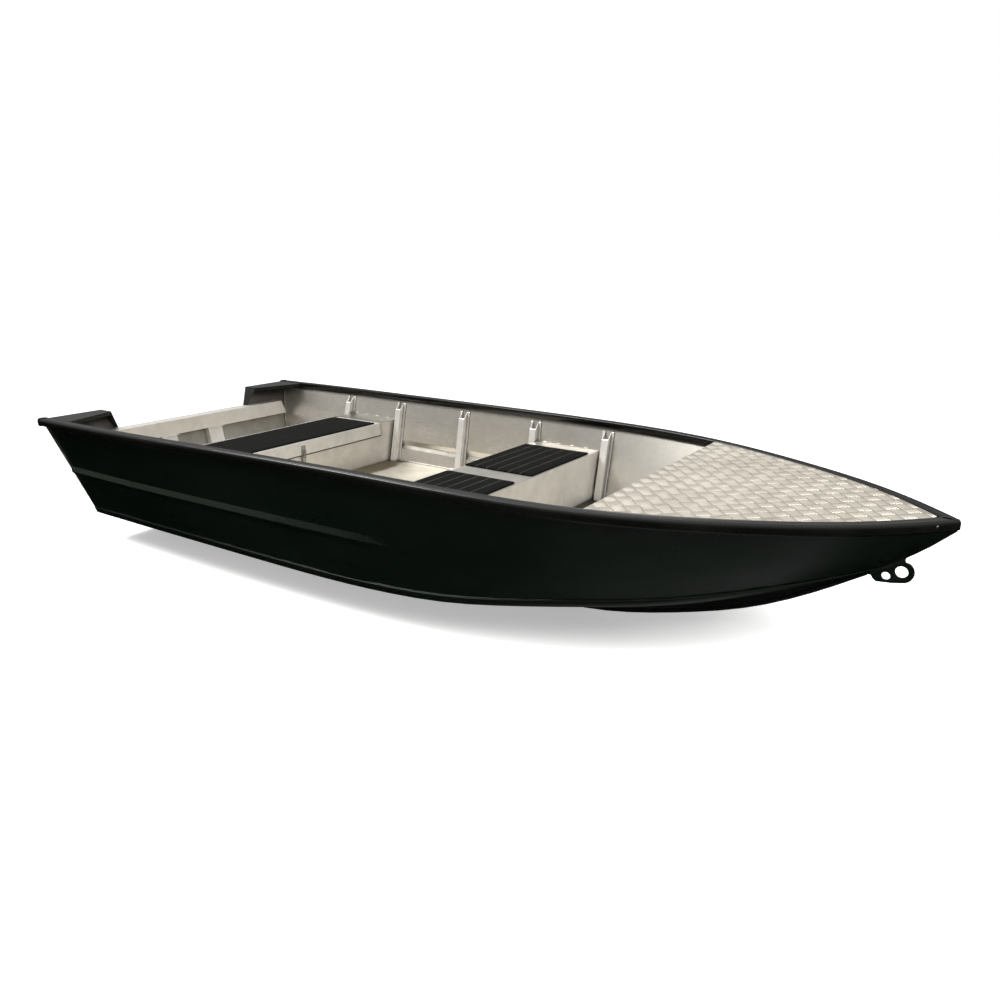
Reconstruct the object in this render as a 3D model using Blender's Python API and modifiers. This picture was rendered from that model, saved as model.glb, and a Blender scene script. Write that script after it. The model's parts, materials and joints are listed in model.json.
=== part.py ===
# Open aluminium fishing boat: X towards the bow, Y to port, Z up, metres.
import bisect
import math

import bmesh
import bpy
import numpy as np
from mathutils import Matrix, Vector

# Hull size. Distances along the boat are measured from the transom's top.
lengthOverall = 3.709
sheerHeight = 0.606
transomRake = 0.27
middleX = 1.842
hullPlate = 0.003
transomPlate = 0.004
innerPlate = 0.003
gap = 0.0003
centreGap = 0.00015

# Half beam at the gunwale's outer edge, and the gunwale's rise above the sheer height.
gunwaleBeam = [(0.0, 0.7494), (0.5, 0.7505), (1.0, 0.7312), (1.5, 0.7095), (1.9, 0.694),
               (2.2, 0.683), (2.5, 0.6595), (2.75, 0.609), (2.95, 0.538), (3.15, 0.443),
               (3.3, 0.3585), (3.45, 0.2545), (3.6, 0.1185), (lengthOverall, 0.0)]
sheerRise = [(0.0, 0.0015), (0.7, 0.005), (1.4, 0.0093), (2.0, 0.0098), (2.5, 0.0042),
             (3.0, -0.0054), (lengthOverall, -0.0152)]
# Chine: distance, half beam, height. Keel: distance, height of its lower edge.
chineBeam = [(0.09, 0.600), (0.8, 0.612), (1.48, 0.606), (1.85, 0.592), (2.22, 0.558),
             (2.59, 0.488), (2.96, 0.365), (3.2375, 0.208), (3.4, 0.088), (3.495, 0.0)]
chineHeight = [(0.09, 0.1435), (0.6, 0.149), (1.2, 0.1505), (1.7, 0.149), (2.02, 0.156),
               (2.23, 0.1695), (2.42, 0.1935), (2.69, 0.233), (2.99, 0.277), (3.24, 0.328),
               (3.487, 0.386)]
keelHeight = [(2.30, 0.0), (2.5, 0.0091), (2.7, 0.0431), (2.9, 0.0954), (3.1, 0.1624),
              (3.3, 0.261), (3.487, 0.378)]
keelDepth = 0.015
keelWidth = 0.020
plankHalfWidth = 0.20
plankLength = 2.30
runnerEnd = 1.75
runnerInset = 0.016
runnerHalfWidth = 0.011
hullEnd = 3.739
chineEnd = 3.52
bottomEnd = 3.470
hullStations = 34
gunwaleStations = 40
stemBulge = 0.012

# Gunwale moulding and side plate.
gunwaleWidth = 0.045
gunwaleDepth = 0.033
gunwaleWall = 0.003
sideInset = 0.022
sideDrop = gunwaleWall + 0.0014
swageTop = 0.230
swageHeight = 0.047
swageDepth = 0.010
swageShape = [(0.0, 0.0), (0.52, 1.0), (0.62, 1.0), (1.0, 0.0)]
swageBowShare = 0.62
swageEnd = 2.18
chineStripHeight = 0.026
chineStripThickness = 0.004

# Transom.
notchDepth = 0.098
notchHalfTop = 0.439
notchHalfBottom = 0.391
beamDepth = 0.060
beamHeight = 0.076
beamWall = 0.004
beamHalfTop = 0.620
beamHalfBottom = 0.650
braceHalfGap = 0.098
braceWidth = 0.088
braceFoot = 0.030
cornerPlate = 0.003
cornerLip = 0.0165
cornerLength = 0.085
cornerReach = 0.168
cornerFlangeDrop = 0.093

# Inside.
floorTop = 0.266
floorEnd = 2.80
floorClear = 0.006
insideStart = 0.30
insideEnd = 2.50
insideSteps = 22
benchTop = 0.479
ribStations = [0.576, 0.955, 1.392, 1.827, 2.221]
ribHalfWidth = 0.030
ribHalfChannel = 0.017
ribDepth = 0.030
ribSheet = 0.0025
ribTop = 0.570
sternBenchBack = 0.600
sternBenchFront = 0.924
hingeRail = 0.018
lidBack = sternBenchBack + 0.0205
lidHalfLength = 0.550
lidLip = 0.065
midBenchBack = 1.846
midBenchFront = 2.186
padThickness = 0.009
padRounding = 0.0025
deckStart = 2.745
deckEnd = 3.637
deckDrop = 0.004
deckThickness = 0.004
hingeRadius = 0.003
latchHalfWidth = 0.013
latchDrop = 0.020
latchHeight = 0.036
latchDepth = 0.007
latchGap = 0.006
latchBaseHeight = 0.030
latchBaseDepth = 0.012
sternPad = ((0.624, -0.512), (0.921, 0.512))
middlePadSides = (0.061, 0.540)
middlePadInset = 0.009
eyeThickness = 0.008
eyeFoot = [(3.479, 0.369), (3.486, 0.3585), (3.4965, 0.3505), (3.540, 0.3545), (3.560, 0.3585)]
eyeNeck = [(3.5745, 0.4285)]
eyeSeat = (0.315, 0.21, 0.105, 0.0)
eyeRing = ((3.567, 0.396), 0.036)
eyeHoles = [(3.566, 0.396, 0.019), (3.523, 0.3745, 0.013)]

collection = None
cutters = None


def startScene():
    global collection, cutters
    for old in list(bpy.data.objects):
        bpy.data.objects.remove(old, do_unlink=True)
    collection = bpy.data.collections.new("aluminium_fishing_boat")
    cutters = bpy.data.collections.new("cutters")
    cutters.hide_render = True
    bpy.context.scene.collection.children.link(collection)
    bpy.context.scene.collection.children.link(cutters)


def spline(knots):
    """A natural cubic spline through the knots, as a function that goes on straight past its ends."""
    xs = np.array([k[0] for k in knots], float)
    ys = np.array([k[1] for k in knots], float)
    steps = np.diff(xs)
    count = len(xs)
    matrix = np.eye(count)
    right = np.zeros(count)
    for i in range(1, count - 1):
        matrix[i, i - 1:i + 2] = steps[i - 1], 2 * (steps[i - 1] + steps[i]), steps[i]
        right[i] = 6 * ((ys[i + 1] - ys[i]) / steps[i] - (ys[i] - ys[i - 1]) / steps[i - 1])
    bend = np.linalg.solve(matrix, right)

    def value(x):
        i = min(max(bisect.bisect_right(list(xs), x) - 1, 0), count - 2)
        h, u, v = steps[i], xs[i + 1] - x, x - xs[i]
        if x < xs[0] or x > xs[-1]:
            end, i = (xs[0], 0) if x < xs[0] else (xs[-1], count - 2)
            h = steps[i]
            sign = -1 if x < xs[0] else 1
            slope = (ys[i + 1] - ys[i]) / h + sign * h * (bend[i + (sign < 0)]) / 6
            return float((ys[0] if x < xs[0] else ys[-1]) + slope * (x - end))
        return float((bend[i] * u**3 + bend[i + 1] * v**3) / (6 * h)
                     + (ys[i] / h - bend[i] * h / 6) * u + (ys[i + 1] / h - bend[i + 1] * h / 6) * v)

    return value


gunwaleY = spline(gunwaleBeam)
riseZ = spline(sheerRise)
chineY = spline(chineBeam)
chineZ = spline(chineHeight)
keelCurve = spline(keelHeight)


def keelZ(x):
    return keelCurve(x) if x > keelHeight[0][0] else 0.0


def sheerZ(x):
    return sheerHeight + riseZ(x)


def rakeX(z):
    """The transom's outer face at this height."""
    return transomRake * (sheerHeight - z)


def gunwaleInset(x, inset, drop=0.0):
    """A point this far inside the gunwale's outer edge, square to the edge in plan."""
    slope = (gunwaleY(x + 0.005) - gunwaleY(x - 0.005)) / 0.01
    length = math.hypot(1, slope)
    return Vector((x + inset * slope / length, gunwaleY(x) - inset / length, sheerZ(x) - drop))


def insetY(x, inset):
    """Half beam of a line this far inside the gunwale's outer edge."""
    low, high = x - 0.1, x + 0.2
    for _ in range(40):
        guess = (low + high) / 2
        point = gunwaleInset(guess, inset)
        if point.x < x:
            low = guess
        else:
            high = guess
    return point.y


def ways(count):
    """Even steps along the hull, closer together towards the bow."""
    return [1 - (1 - i / count) ** 1.25 for i in range(count + 1)]


def between(x, low, high):
    """Rises smoothly from 0 at low to 1 at high."""
    share = min(max((x - low) / (high - low), 0.0), 1.0)
    return share * share * (3 - 2 * share)


def hullRow(t):
    """The side's top and bottom edge, at this share of the way past the bow."""
    bow = between(t, 0.86, 0.93)
    inset = sideInset - 0.013 * bow - 0.002 * between(t, 0.93, 0.99)
    underGunwale = gunwaleDepth + 0.0032 - sideDrop
    top = gunwaleInset(t * hullEnd, inset, sideDrop + underGunwale * bow)
    top.x += (rakeX(top.z) - gunwaleInset(0.0, sideInset).x) * (1 - t)
    chineStart = rakeX(chineHeight[0][1])
    x = chineStart + t * (chineEnd - chineStart)
    return top, Vector((x, chineY(x), chineZ(x)))


def sidePoint(t, share):
    """A point this share of the way up the side, which bulges a little towards the stem."""
    top, chine = hullRow(t)
    point = chine.lerp(top, share)
    point.x += stemBulge * 4 * share * (1 - share) * between(t, 0.8, 0.97)
    return point


def stemPoint(share):
    """Where the side meets the centreplane."""
    low, high = 0.9, 1.0
    for _ in range(40):
        t = (low + high) / 2
        if sidePoint(t, share).y > 0:
            low = t
        else:
            high = t
    return sidePoint(t, share)


def bottomRow(t):
    """The bottom's outer edge and the keel line, which end together at the stem."""
    chineStart, keelStart = rakeX(chineHeight[0][1]), rakeX(keelDepth)
    x = chineStart + t * (bottomEnd - chineStart)
    chine = Vector((x, chineY(x), chineZ(x)))
    x = keelStart + t * (bottomEnd - keelStart)
    return chine, Vector((x, 0.0, keelZ(x) + keelDepth))


def plankY(x):
    return plankHalfWidth * (1 - x / plankLength)


def sideY(x, z):
    """The side plate's outer face, without its swage."""
    low, high = 0.0, 1.0
    for _ in range(40):
        t = (low + high) / 2
        top, chine = hullRow(t)
        share = (z - chine.z) / (top.z - chine.z)
        point = chine.lerp(top, share)
        if point.x < x:
            low = t
        else:
            high = t
    return point.y


def keep(obj, where=None):
    """Puts a piece in the boat's collection, or a tool in the other one, under the boat's origin."""
    (where or collection).objects.link(obj)
    origin = bpy.data.objects.get("boat_origin")
    if obj is not origin:
        obj.parent = origin
    if where:
        obj.hide_render = True
        obj.display_type = "WIRE"
    return obj


def meshObject(name, points, faces, where=None):
    mesh = bpy.data.meshes.new(name)
    mesh.from_pydata([tuple(p) for p in points], [], faces)
    mesh.update()
    return keep(bpy.data.objects.new(name, mesh), where)


def sheet(name, grid, thickness, offset=-1.0):
    """A sheet through rows of points, thickened to one side."""
    rows, columns = len(grid), len(grid[0])
    faces = [(i * columns + j, (i + 1) * columns + j, (i + 1) * columns + j + 1, i * columns + j + 1)
             for i in range(rows - 1) for j in range(columns - 1)]
    obj = meshObject(name, [p for row in grid for p in row], faces)
    solidify = obj.modifiers.new("plate", "SOLIDIFY")
    solidify.thickness = thickness
    solidify.offset = offset
    solidify.use_even_offset = True
    return obj


def loft(name, rings, where=None):
    """A solid through rings of the same number of points."""
    count = len(rings[0])
    faces = [(i * count + j, i * count + (j + 1) % count, (i + 1) * count + (j + 1) % count,
              (i + 1) * count + j) for i in range(len(rings) - 1) for j in range(count)]
    faces.append(tuple(range(count))[::-1])
    faces.append(tuple((len(rings) - 1) * count + j for j in range(count)))
    obj = meshObject(name, [p for ring in rings for p in ring], faces, where)
    faceOutward(obj)
    return obj


def faceOutward(obj):
    edit = bmesh.new()
    edit.from_mesh(obj.data)
    bmesh.ops.recalc_face_normals(edit, faces=edit.faces)
    if edit.calc_volume(signed=True) < 0:
        bmesh.ops.reverse_faces(edit, faces=edit.faces)
    edit.to_mesh(obj.data)
    edit.free()


def box(name, low, high, where=None):
    edit = bmesh.new()
    bmesh.ops.create_cube(edit, size=1.0)
    low, high = Vector(low), Vector(high)
    for vertex in edit.verts:
        vertex.co = low + Vector((vertex.co[k] + 0.5) * (high - low)[k] for k in range(3))
    mesh = bpy.data.meshes.new(name)
    edit.to_mesh(mesh)
    edit.free()
    return keep(bpy.data.objects.new(name, mesh), where)


def prism(name, outline, toPoint, thickness, where=None):
    """A flat outline made solid: toPoint gives the point for u, v and a depth."""
    return loft(name, [[toPoint(u, v, depth) for u, v in outline] for depth in (0.0, thickness)], where)


def acrossBoat(name, outline, halfWidth, where=None):
    """An outline in x and z, made solid from side to side."""
    return loft(name, [[Vector((x, y, z)) for x, z in outline] for y in (-halfWidth, halfWidth)], where)


def cylinder(name, low, high, radius, segments=24, where=None):
    low, high = Vector(low), Vector(high)
    edit = bmesh.new()
    bmesh.ops.create_cone(edit, cap_ends=True, segments=segments, radius1=radius, radius2=radius,
                          depth=(high - low).length)
    turn = (high - low).to_track_quat("Z", "Y").to_matrix().to_4x4()
    bmesh.ops.transform(edit, matrix=Matrix.Translation((low + high) / 2) @ turn, verts=edit.verts)
    mesh = bpy.data.meshes.new(name)
    edit.to_mesh(mesh)
    edit.free()
    return keep(bpy.data.objects.new(name, mesh), where)


def combine(obj, other, operation="DIFFERENCE"):
    boolean = obj.modifiers.new(operation.lower(), "BOOLEAN")
    boolean.operation = operation
    boolean.solver = "EXACT"
    boolean.object = other
    if other.name in collection.objects:
        collection.objects.unlink(other)
    if other.name not in cutters.objects:
        cutters.objects.link(other)
    other.display_type = "WIRE"
    other.hide_render = True
    return obj


def bevel(obj, width, segments=2, angle=30):
    edge = obj.modifiers.new("rounded edges", "BEVEL")
    edge.width = width
    edge.segments = segments
    edge.limit_method = "ANGLE"
    edge.angle_limit = math.radians(angle)
    return obj


def otherSide(obj, name, where=None):
    """The same piece on the starboard side, with its modifiers."""
    mesh = obj.data.copy()
    mesh.transform(Matrix.Scale(-1, 4, (0, 1, 0)))
    mesh.flip_normals()
    copy = obj.copy()
    copy.data = mesh
    copy.name = name
    mesh.name = name
    keep(copy, where)
    for modifier in copy.modifiers:
        if modifier.type == "BOOLEAN" and modifier.object.name in mirrored:
            modifier.object = mirrored[modifier.object.name]
    return copy


mirrored = {}


def pairOf(obj, name):
    return obj, otherSide(obj, name)


def hullPlates():
    starboardHalf = box("starboard_half", (-1, -2, -1), (5, centreGap, 2), cutters)
    mirrored[starboardHalf.name] = box("port_half", (-1, -centreGap, -1), (5, 2, 2), cutters)

    side = []
    for t in ways(hullStations):
        top, chine = hullRow(t)
        fade = 1 - between(chine.x, swageEnd - 0.4, swageEnd)
        row = [sidePoint(t, 1.0)]
        for drop, out in swageShape:
            z = sheerHeight - swageTop - drop * swageHeight
            share = (z - chine.z) / (top.z - chine.z)
            share += (swageBowShare - 0.3 * drop - share) * between(t, 0.55, 0.8)
            point = sidePoint(t, share)
            point.y += swageDepth * out * fade
            row.append(point)
        row.append(sidePoint(t, 0.0))
        side.append(row)
    port = sheet("side_plate_port", side, hullPlate)
    combine(port, starboardHalf)
    pairOf(port, "side_plate_starboard")

    bottom = []
    for t in ways(hullStations):
        chine, keel = bottomRow(t)
        inner = Vector((keel.x, max(plankY(keel.x) + 0.0014, 0.0025), keel.z))
        outer = chine.lerp(inner, min(0.0052 / (chine.y + 0.01), 0.4)) + Vector((0, 0, 0.0012))
        bottom.append([outer, outer.lerp(inner, 0.5), inner])
    port = sheet("bottom_plate_port", bottom, hullPlate)
    pairOf(port, "bottom_plate_starboard")


def keelPieces():
    """The flat plank that the aft bottom ends in, the keel and the runners along the plank's edges."""
    start, end = rakeX(keelDepth), plankLength - 0.10
    plank = [(start, plankHalfWidth * (1 - start / plankLength)), (end, plankY(end))]
    outline = [(x, y) for x, y in plank] + [(x, -y) for x, y in plank[::-1]]
    prism("keel_plank", outline, lambda u, v, d: Vector((u, v, keelDepth + d)), hullPlate)
    rings = []
    for t in ways(hullStations):
        keel = bottomRow(t)[1]
        low, high, half = keel.z - keelDepth, keel.z - 0.0006, keelWidth / 2
        rings.append([Vector((keel.x, y, z)) for y, z in
                      ((-half, high), (-half * 0.8, low), (half * 0.8, low), (half, high))])
    loft("keel_strip", rings)
    rings = []
    for i in range(9):
        x = start + (runnerEnd - start) * i / 8
        y = plankY(x) - runnerInset
        rings.append([Vector((x, y + side * runnerHalfWidth, z)) for side, z in
                      ((-1, keelDepth - gap), (-0.64, 0), (0.64, 0), (1, keelDepth - gap))])
    pairOf(loft("runner_port", rings), "runner_starboard")


def chineStrips():
    rings = []
    for t in ways(hullStations):
        top, chine = hullRow(t)
        if chine.y < 0.004:
            continue
        high = sidePoint(t, chineStripHeight / (top.z - chine.z))
        slope = math.atan2((chineY(chine.x + 0.005) - chineY(chine.x - 0.005)), 0.01)
        flare = 0.25 + 0.6 * between(chine.x, 2.4, 3.4)
        out = Vector((-math.sin(slope), math.cos(slope), -flare)).normalized()
        low = chine + Vector((0, 0, -0.001))
        rings.append([low + out * gap, high + out * gap, high + out * (gap + chineStripThickness),
                      low + out * (gap + chineStripThickness)])
    pairOf(loft("chine_strip_port", rings), "chine_strip_starboard")


def gunwales():
    """A channel that opens downwards over the side plate's edge, rounded on its outside."""
    width, depth, wall = gunwaleWidth, gunwaleDepth, gunwaleWall
    section = [(0.0035, depth), (0.0008, depth * 0.8), (0.0, depth * 0.45), (0.002, depth * 0.14),
               (0.0065, 0.0), (width - 0.002, 0.0), (width, 0.002), (width, depth),
               (width - wall, depth), (width - wall, wall), (0.008, wall), (0.0045, depth * 0.22),
               (wall, depth * 0.47), (wall + 0.0008, depth * 0.8), (0.0065, depth)]
    rings = []
    for t in ways(gunwaleStations):
        rings.append([gunwaleInset(t * hullEnd, u, v) for u, v in section])
    half = bpy.data.objects["starboard_half"]
    port = combine(loft("gunwale_port", rings), half)
    pairOf(port, "gunwale_starboard")


def transom():
    """Black outer plate with its notch, and the bare metal that stiffens it inside."""
    top, chine = hullRow(0)
    keel = bottomRow(0)[1]
    innerTop = insetY(0.0, gunwaleWidth + 0.0035)
    half = [(0.0, keel.z), (plankY(keel.x), keel.z), (chine.y, chine.z),
            (top.y, sheerHeight - gunwaleDepth - gap), (innerTop, sheerHeight - gunwaleDepth - gap),
            (innerTop, sheerHeight - 0.001), (notchHalfTop, sheerHeight - 0.001),
            (notchHalfBottom, sheerHeight - notchDepth), (0.0, sheerHeight - notchDepth)]
    outline = half[:-1] + [(-y, z) for y, z in half[1:-1]][::-1]
    prism("transom_plate", outline,
          lambda y, z, d: Vector((rakeX(z) - gap - transomPlate + d, y, z)), transomPlate)

    high, low = sheerHeight - notchDepth, sheerHeight - notchDepth - beamHeight
    front = rakeX(high) + beamDepth
    outer = [(rakeX(low), low), (front, low), (front, high), (rakeX(high), high)]
    bottom, roof = low + beamWall, high - beamWall
    inner = [(rakeX(bottom) + beamWall, bottom), (front - beamWall, bottom),
             (front - beamWall, roof), (rakeX(roof) + beamWall, roof)]
    rings = [[Vector((x, side * (beamHalfTop if z == high else beamHalfBottom), z)) for x, z in outer]
             for side in (-1, 1)]
    combine(loft("motor_beam", rings),
            acrossBoat("motor_beam_hollow", inner, beamHalfBottom + beamWall, cutters))

    near, far = braceHalfGap, braceHalfGap + braceWidth
    wall = innerPlate
    rings = []
    for z, front in ((floorTop + gap, rakeX(floorTop) + braceFoot), (low - gap, front)):
        back = rakeX(z)
        rings.append([Vector((x, y, z)) for x, y in
                      ((back, near), (front, near), (front, far), (back, far), (back, far - wall),
                       (front - wall, far - wall), (front - wall, near + wall), (back, near + wall))])
    pairOf(loft("transom_brace_port", rings), "transom_brace_starboard")


def cornerPlates():
    """Plates that join the transom's shoulders to the gunwales, folded down along their edges."""
    high = sheerHeight - 0.001
    low = high - cornerPlate
    inner = insetY(0.0, gunwaleWidth) - 0.001
    edge = notchHalfTop + cornerPlate
    outline = [(rakeX(low), edge), (cornerLength, edge), (cornerReach, inner - 0.005), (rakeX(low), inner)]
    port = prism("corner_plate_port", outline, lambda x, y, d: Vector((x, y, low + d)), cornerPlate)
    lip = prism("corner_lip", [(cornerLength, edge), (cornerReach, inner - 0.005),
                               (cornerReach - cornerPlate, inner - 0.005),
                               (cornerLength - 0.0035, edge + 0.0015)],
                lambda x, y, d: Vector((x, y, low + cornerPlate / 2 - cornerLip + d)), cornerLip)
    slope = (notchHalfTop - notchHalfBottom) / notchDepth
    flange = loft("corner_flange", [[Vector((rakeX(z) + a, edge - slope * (high - z) + b, z))
                                     for a, b in ((0, 0), (end, 0), (end, cornerPlate), (0, cornerPlate))]
                                    for z, end in ((high - cornerFlangeDrop, 0.030),
                                                   (high - 0.0005, cornerLength - 0.002))])
    for piece in (lip, flange):
        combine(port, piece, "UNION")
        mesh = piece.data.copy()
        mesh.transform(Matrix.Scale(-1, 4, (0, 1, 0)))
        mesh.flip_normals()
        mirrored[piece.name] = keep(bpy.data.objects.new(piece.name + "_starboard", mesh), cutters)
    pairOf(port, "corner_plate_starboard")


def sternCaps():
    """Round plastic ends on the gunwales."""
    middle = gunwaleY(0) - gunwaleWidth / 2
    high, low = sheerZ(0) + 0.0015, sheerHeight - gunwaleDepth - 0.002
    radius = gunwaleWidth / 2 + 0.002
    back = -gap
    outline = [(back, radius), (back, -radius)]
    outline += [(back - radius * math.sin(a), -radius * math.cos(a)) for a in
                [math.pi * i / 12 for i in range(1, 12)]]
    cap = prism("stern_cap_port", outline, lambda u, v, d: Vector((u, middle + v, low + d)), high - low)
    bevel(cap, 0.002)
    pairOf(cap, "stern_cap_starboard")


def deckZ(x):
    """The foredeck is flat and slopes with the gunwale."""
    start, end = sheerZ(deckStart), sheerZ(deckEnd)
    return start + (end - start) * (x - deckStart) / (deckEnd - deckStart) - deckDrop


def floorAndDeck():
    clear = hullPlate + 0.0022
    start, count = rakeX(floorTop - innerPlate) + floorClear, 20
    rings = []
    for z in (floorTop - innerPlate, floorTop):
        edge = [(x, sideY(x, z) - clear) for x in
                [start + (floorEnd - start) * i / count for i in range(count + 1)]]
        rings.append([Vector((x, y, z)) for x, y in edge + [(x, -y) for x, y in edge[::-1]]])
    loft("floor_plate", rings)

    edge = [(x, max(insetY(x, gunwaleWidth + 0.0008), 0.003)) for x in
            [deckStart + (deckEnd - deckStart) * i / 24 for i in range(25)]]
    outline = edge + [(x, -y) for x, y in edge[::-1]]
    prism("foredeck", outline, lambda x, y, d: Vector((x, y, deckZ(x) - deckThickness + d)), deckThickness)

    wall, back = innerPlate, deckStart + 0.022
    under = deckZ(back + 0.030) - deckThickness - gap
    angle = [(back, under), (back + 0.030, under), (back + 0.030, under - wall), (back + wall, under - wall),
             (back + wall, under - 0.040), (back, under - 0.040)]
    acrossBoat("deck_beam", angle, insetY(back + 0.035, gunwaleWidth) - 0.001)


def ribLine(x, z):
    """The inside of the side plate where a rib stands, and the side's slope in plan."""
    w = ribHalfWidth
    slope = (sideY(x + w, z) - sideY(x - w, z)) / (2 * w)
    return min(sideY(x - w, z), sideY(x + w, z)) - hullPlate - 0.0008, slope


def ribSolid(name, x, section, top, where=None, below=0.0):
    """A section in u along the side and v inwards, carried up the side; its top is cut at a slant."""
    low = floorTop + gap
    (lowY, lowSlope), (highY, highSlope) = ribLine(x, low), ribLine(x, ribTop)
    rings = []
    for high in (False, True):
        ring = []
        for u, v in section:
            z = top(v) if high else low - below
            share = (z - low) / (ribTop - low)
            y = lowY + (highY - lowY) * share
            slope = lowSlope + (highSlope - lowSlope) * share
            ring.append(Vector((x + u - slope * v, y + slope * u - v, z)))
        rings.append(ring)
    return loft(name, rings, where)


def ribs():
    """Top-hat sections that stiffen the sides, open to the hull. Returns the room they take."""
    w, c, d, s = ribHalfWidth, ribHalfChannel, ribDepth, ribSheet
    hat = [(-w, 0), (-c + s, 0), (-c + s, d - s), (c - s, d - s), (c - s, 0), (w, 0), (w, s),
           (c, s), (c, d), (-c, d), (-c, s), (-w, s)]
    g, beyond = 0.0006, -0.12
    w, c, d, s = w + g, c + g, d + g, s + g
    room = [(-w, beyond), (w, beyond), (w, s), (c, s), (c, d), (-c, d), (-c, s), (-w, s)]
    rooms = []
    for number, x in enumerate(ribStations, 1):
        rib = ribSolid("rib_port_%d" % number, x, hat, lambda v: ribTop - 1.1 * v)
        pairOf(rib, "rib_starboard_%d" % number)
        port = ribSolid("rib_room_%d" % number, x, room, lambda v: ribTop, cutters, below=0.01)
        rooms.append((port, otherSide(port, "rib_room_%d_starboard" % number, cutters)))
    return rooms


def insideHull():
    """The space between the side plates, which trims what spans them."""
    rings = []
    for i in range(insideSteps + 1):
        x = insideStart + (insideEnd - insideStart) * i / insideSteps
        rings.append([Vector((x, side * (sideY(x, z) - hullPlate - 0.0012), z)) for side, z in
                      ((1, 0.58), (1, 0.20), (-1, 0.20), (-1, 0.58))])
    return loft("inside_hull", rings, cutters)


def fitBetweenSides(bench, inside, rooms):
    combine(bench, inside, "INTERSECT")
    for pair in rooms:
        for room in pair:
            combine(bench, room)


def sternBench(inside, rooms):
    """A box across the boat whose top is open between its ends; the lid closes it."""
    wall, top, wide = innerPlate, benchTop, 0.76
    low = floorTop + gap
    back, front = sternBenchBack, sternBenchFront
    edge = lidHalfLength + 0.0015
    body = box("stern_bench", (front - wall, -wide, low), (front, wide, top - wall - gap))
    pieces = [box("bench_back", (back, -wide, low), (back + wall, wide, top)),
              box("hinge_rail", (back, -edge - 0.01, top - wall), (back + hingeRail, edge + 0.01, top))]
    for sign, label in ((1, "port"), (-1, "starboard")):
        ends, webs = sorted((sign * edge, sign * wide)), sorted((sign * edge, sign * (edge + wall)))
        pieces.append(box("bench_end_" + label, (back, ends[0], top - wall), (front, ends[1], top)))
        pieces.append(box("bench_web_" + label, (back, webs[0], low), (front, webs[1], top)))
    for piece in pieces:
        combine(body, piece, "UNION")
    fitBetweenSides(body, inside, rooms)


def benchLid():
    """The lid hangs on a hinge along its back edge, with its pad and its half of the latch."""
    wall, top = innerPlate, benchTop
    hinge = Vector((lidBack - 0.0055, 0, top + gap + hingeRadius))
    pivot = bpy.data.objects.new("lid_pivot", None)
    pivot.location = hinge
    keep(pivot)
    lip = sternBenchFront + 0.0015
    section = [(lidBack, top), (lidBack, top - wall), (lip, top - wall), (lip, top - lidLip),
               (lip + wall, top - lidLip), (lip + wall, top)]
    lid = acrossBoat("bench_lid", [(x - hinge.x, z - hinge.z) for x, z in section], lidHalfLength)
    bevel(lid, 0.001, 1)
    low, high = sternPad
    pad = box("stern_pad", Vector((*low, top + gap)) - hinge, Vector((*high, top + padThickness)) - hinge)
    bevel(pad, padRounding)
    rod = lidHalfLength - 0.01
    cylinder("lid_hinge", (hinge.x, -rod, hinge.z), (hinge.x, rod, hinge.z), hingeRadius, 16)

    high, front = top - latchDrop, lip + wall
    catch = box("latch_catch", Vector((front + gap, -latchHalfWidth, high - latchHeight)) - hinge,
                Vector((front + latchDepth, latchHalfWidth, high)) - hinge)
    bevel(catch, 0.001, 1)
    for piece in (lid, pad, catch):
        piece.parent = pivot
    high = top - lidLip - latchGap
    base = box("latch_body", (sternBenchFront + gap, -latchHalfWidth, high - latchBaseHeight),
               (sternBenchFront + latchBaseDepth, latchHalfWidth, high))
    bevel(base, 0.001, 1)


def middleBench(inside, rooms):
    wall, top, wide = innerPlate, benchTop, 0.76
    low = floorTop + gap
    back, front = midBenchBack, midBenchFront
    outline = [(back, low), (back, top), (front, top), (front, low), (front - wall, low),
               (front - wall, top - wall), (back + wall, top - wall), (back + wall, low)]
    fitBetweenSides(acrossBoat("middle_bench", outline, wide), inside, rooms)
    pad = box("middle_pad_port", (back - 0.001, middlePadSides[0], top + gap),
              (front - middlePadInset, middlePadSides[1], top + padThickness))
    bevel(pad, padRounding)
    pairOf(pad, "middle_pad_starboard")


def towEye():
    """A plate on the stem with one hole for a shackle and a smaller one behind it."""
    seat = [stemPoint(share) + Vector((0.66, 0, -0.75)) * 2 * gap for share in eyeSeat]
    outline = [(p.x, p.z) for p in seat] + eyeFoot
    (ringX, ringZ), ringRadius = eyeRing
    outline += [(ringX + ringRadius * math.cos(math.radians(a)), ringZ + ringRadius * math.sin(math.radians(a)))
                for a in range(-85, 75, 16)] + eyeNeck
    plate = prism("tow_eye", outline, lambda x, z, d: Vector((x, d - eyeThickness / 2, z)), eyeThickness)
    for x, z, r in eyeHoles:
        hole = cylinder("eye_hole_%d" % (r * 1000), (x, -0.05, z), (x, 0.05, z), r, 32)
        combine(plate, hole)


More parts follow.
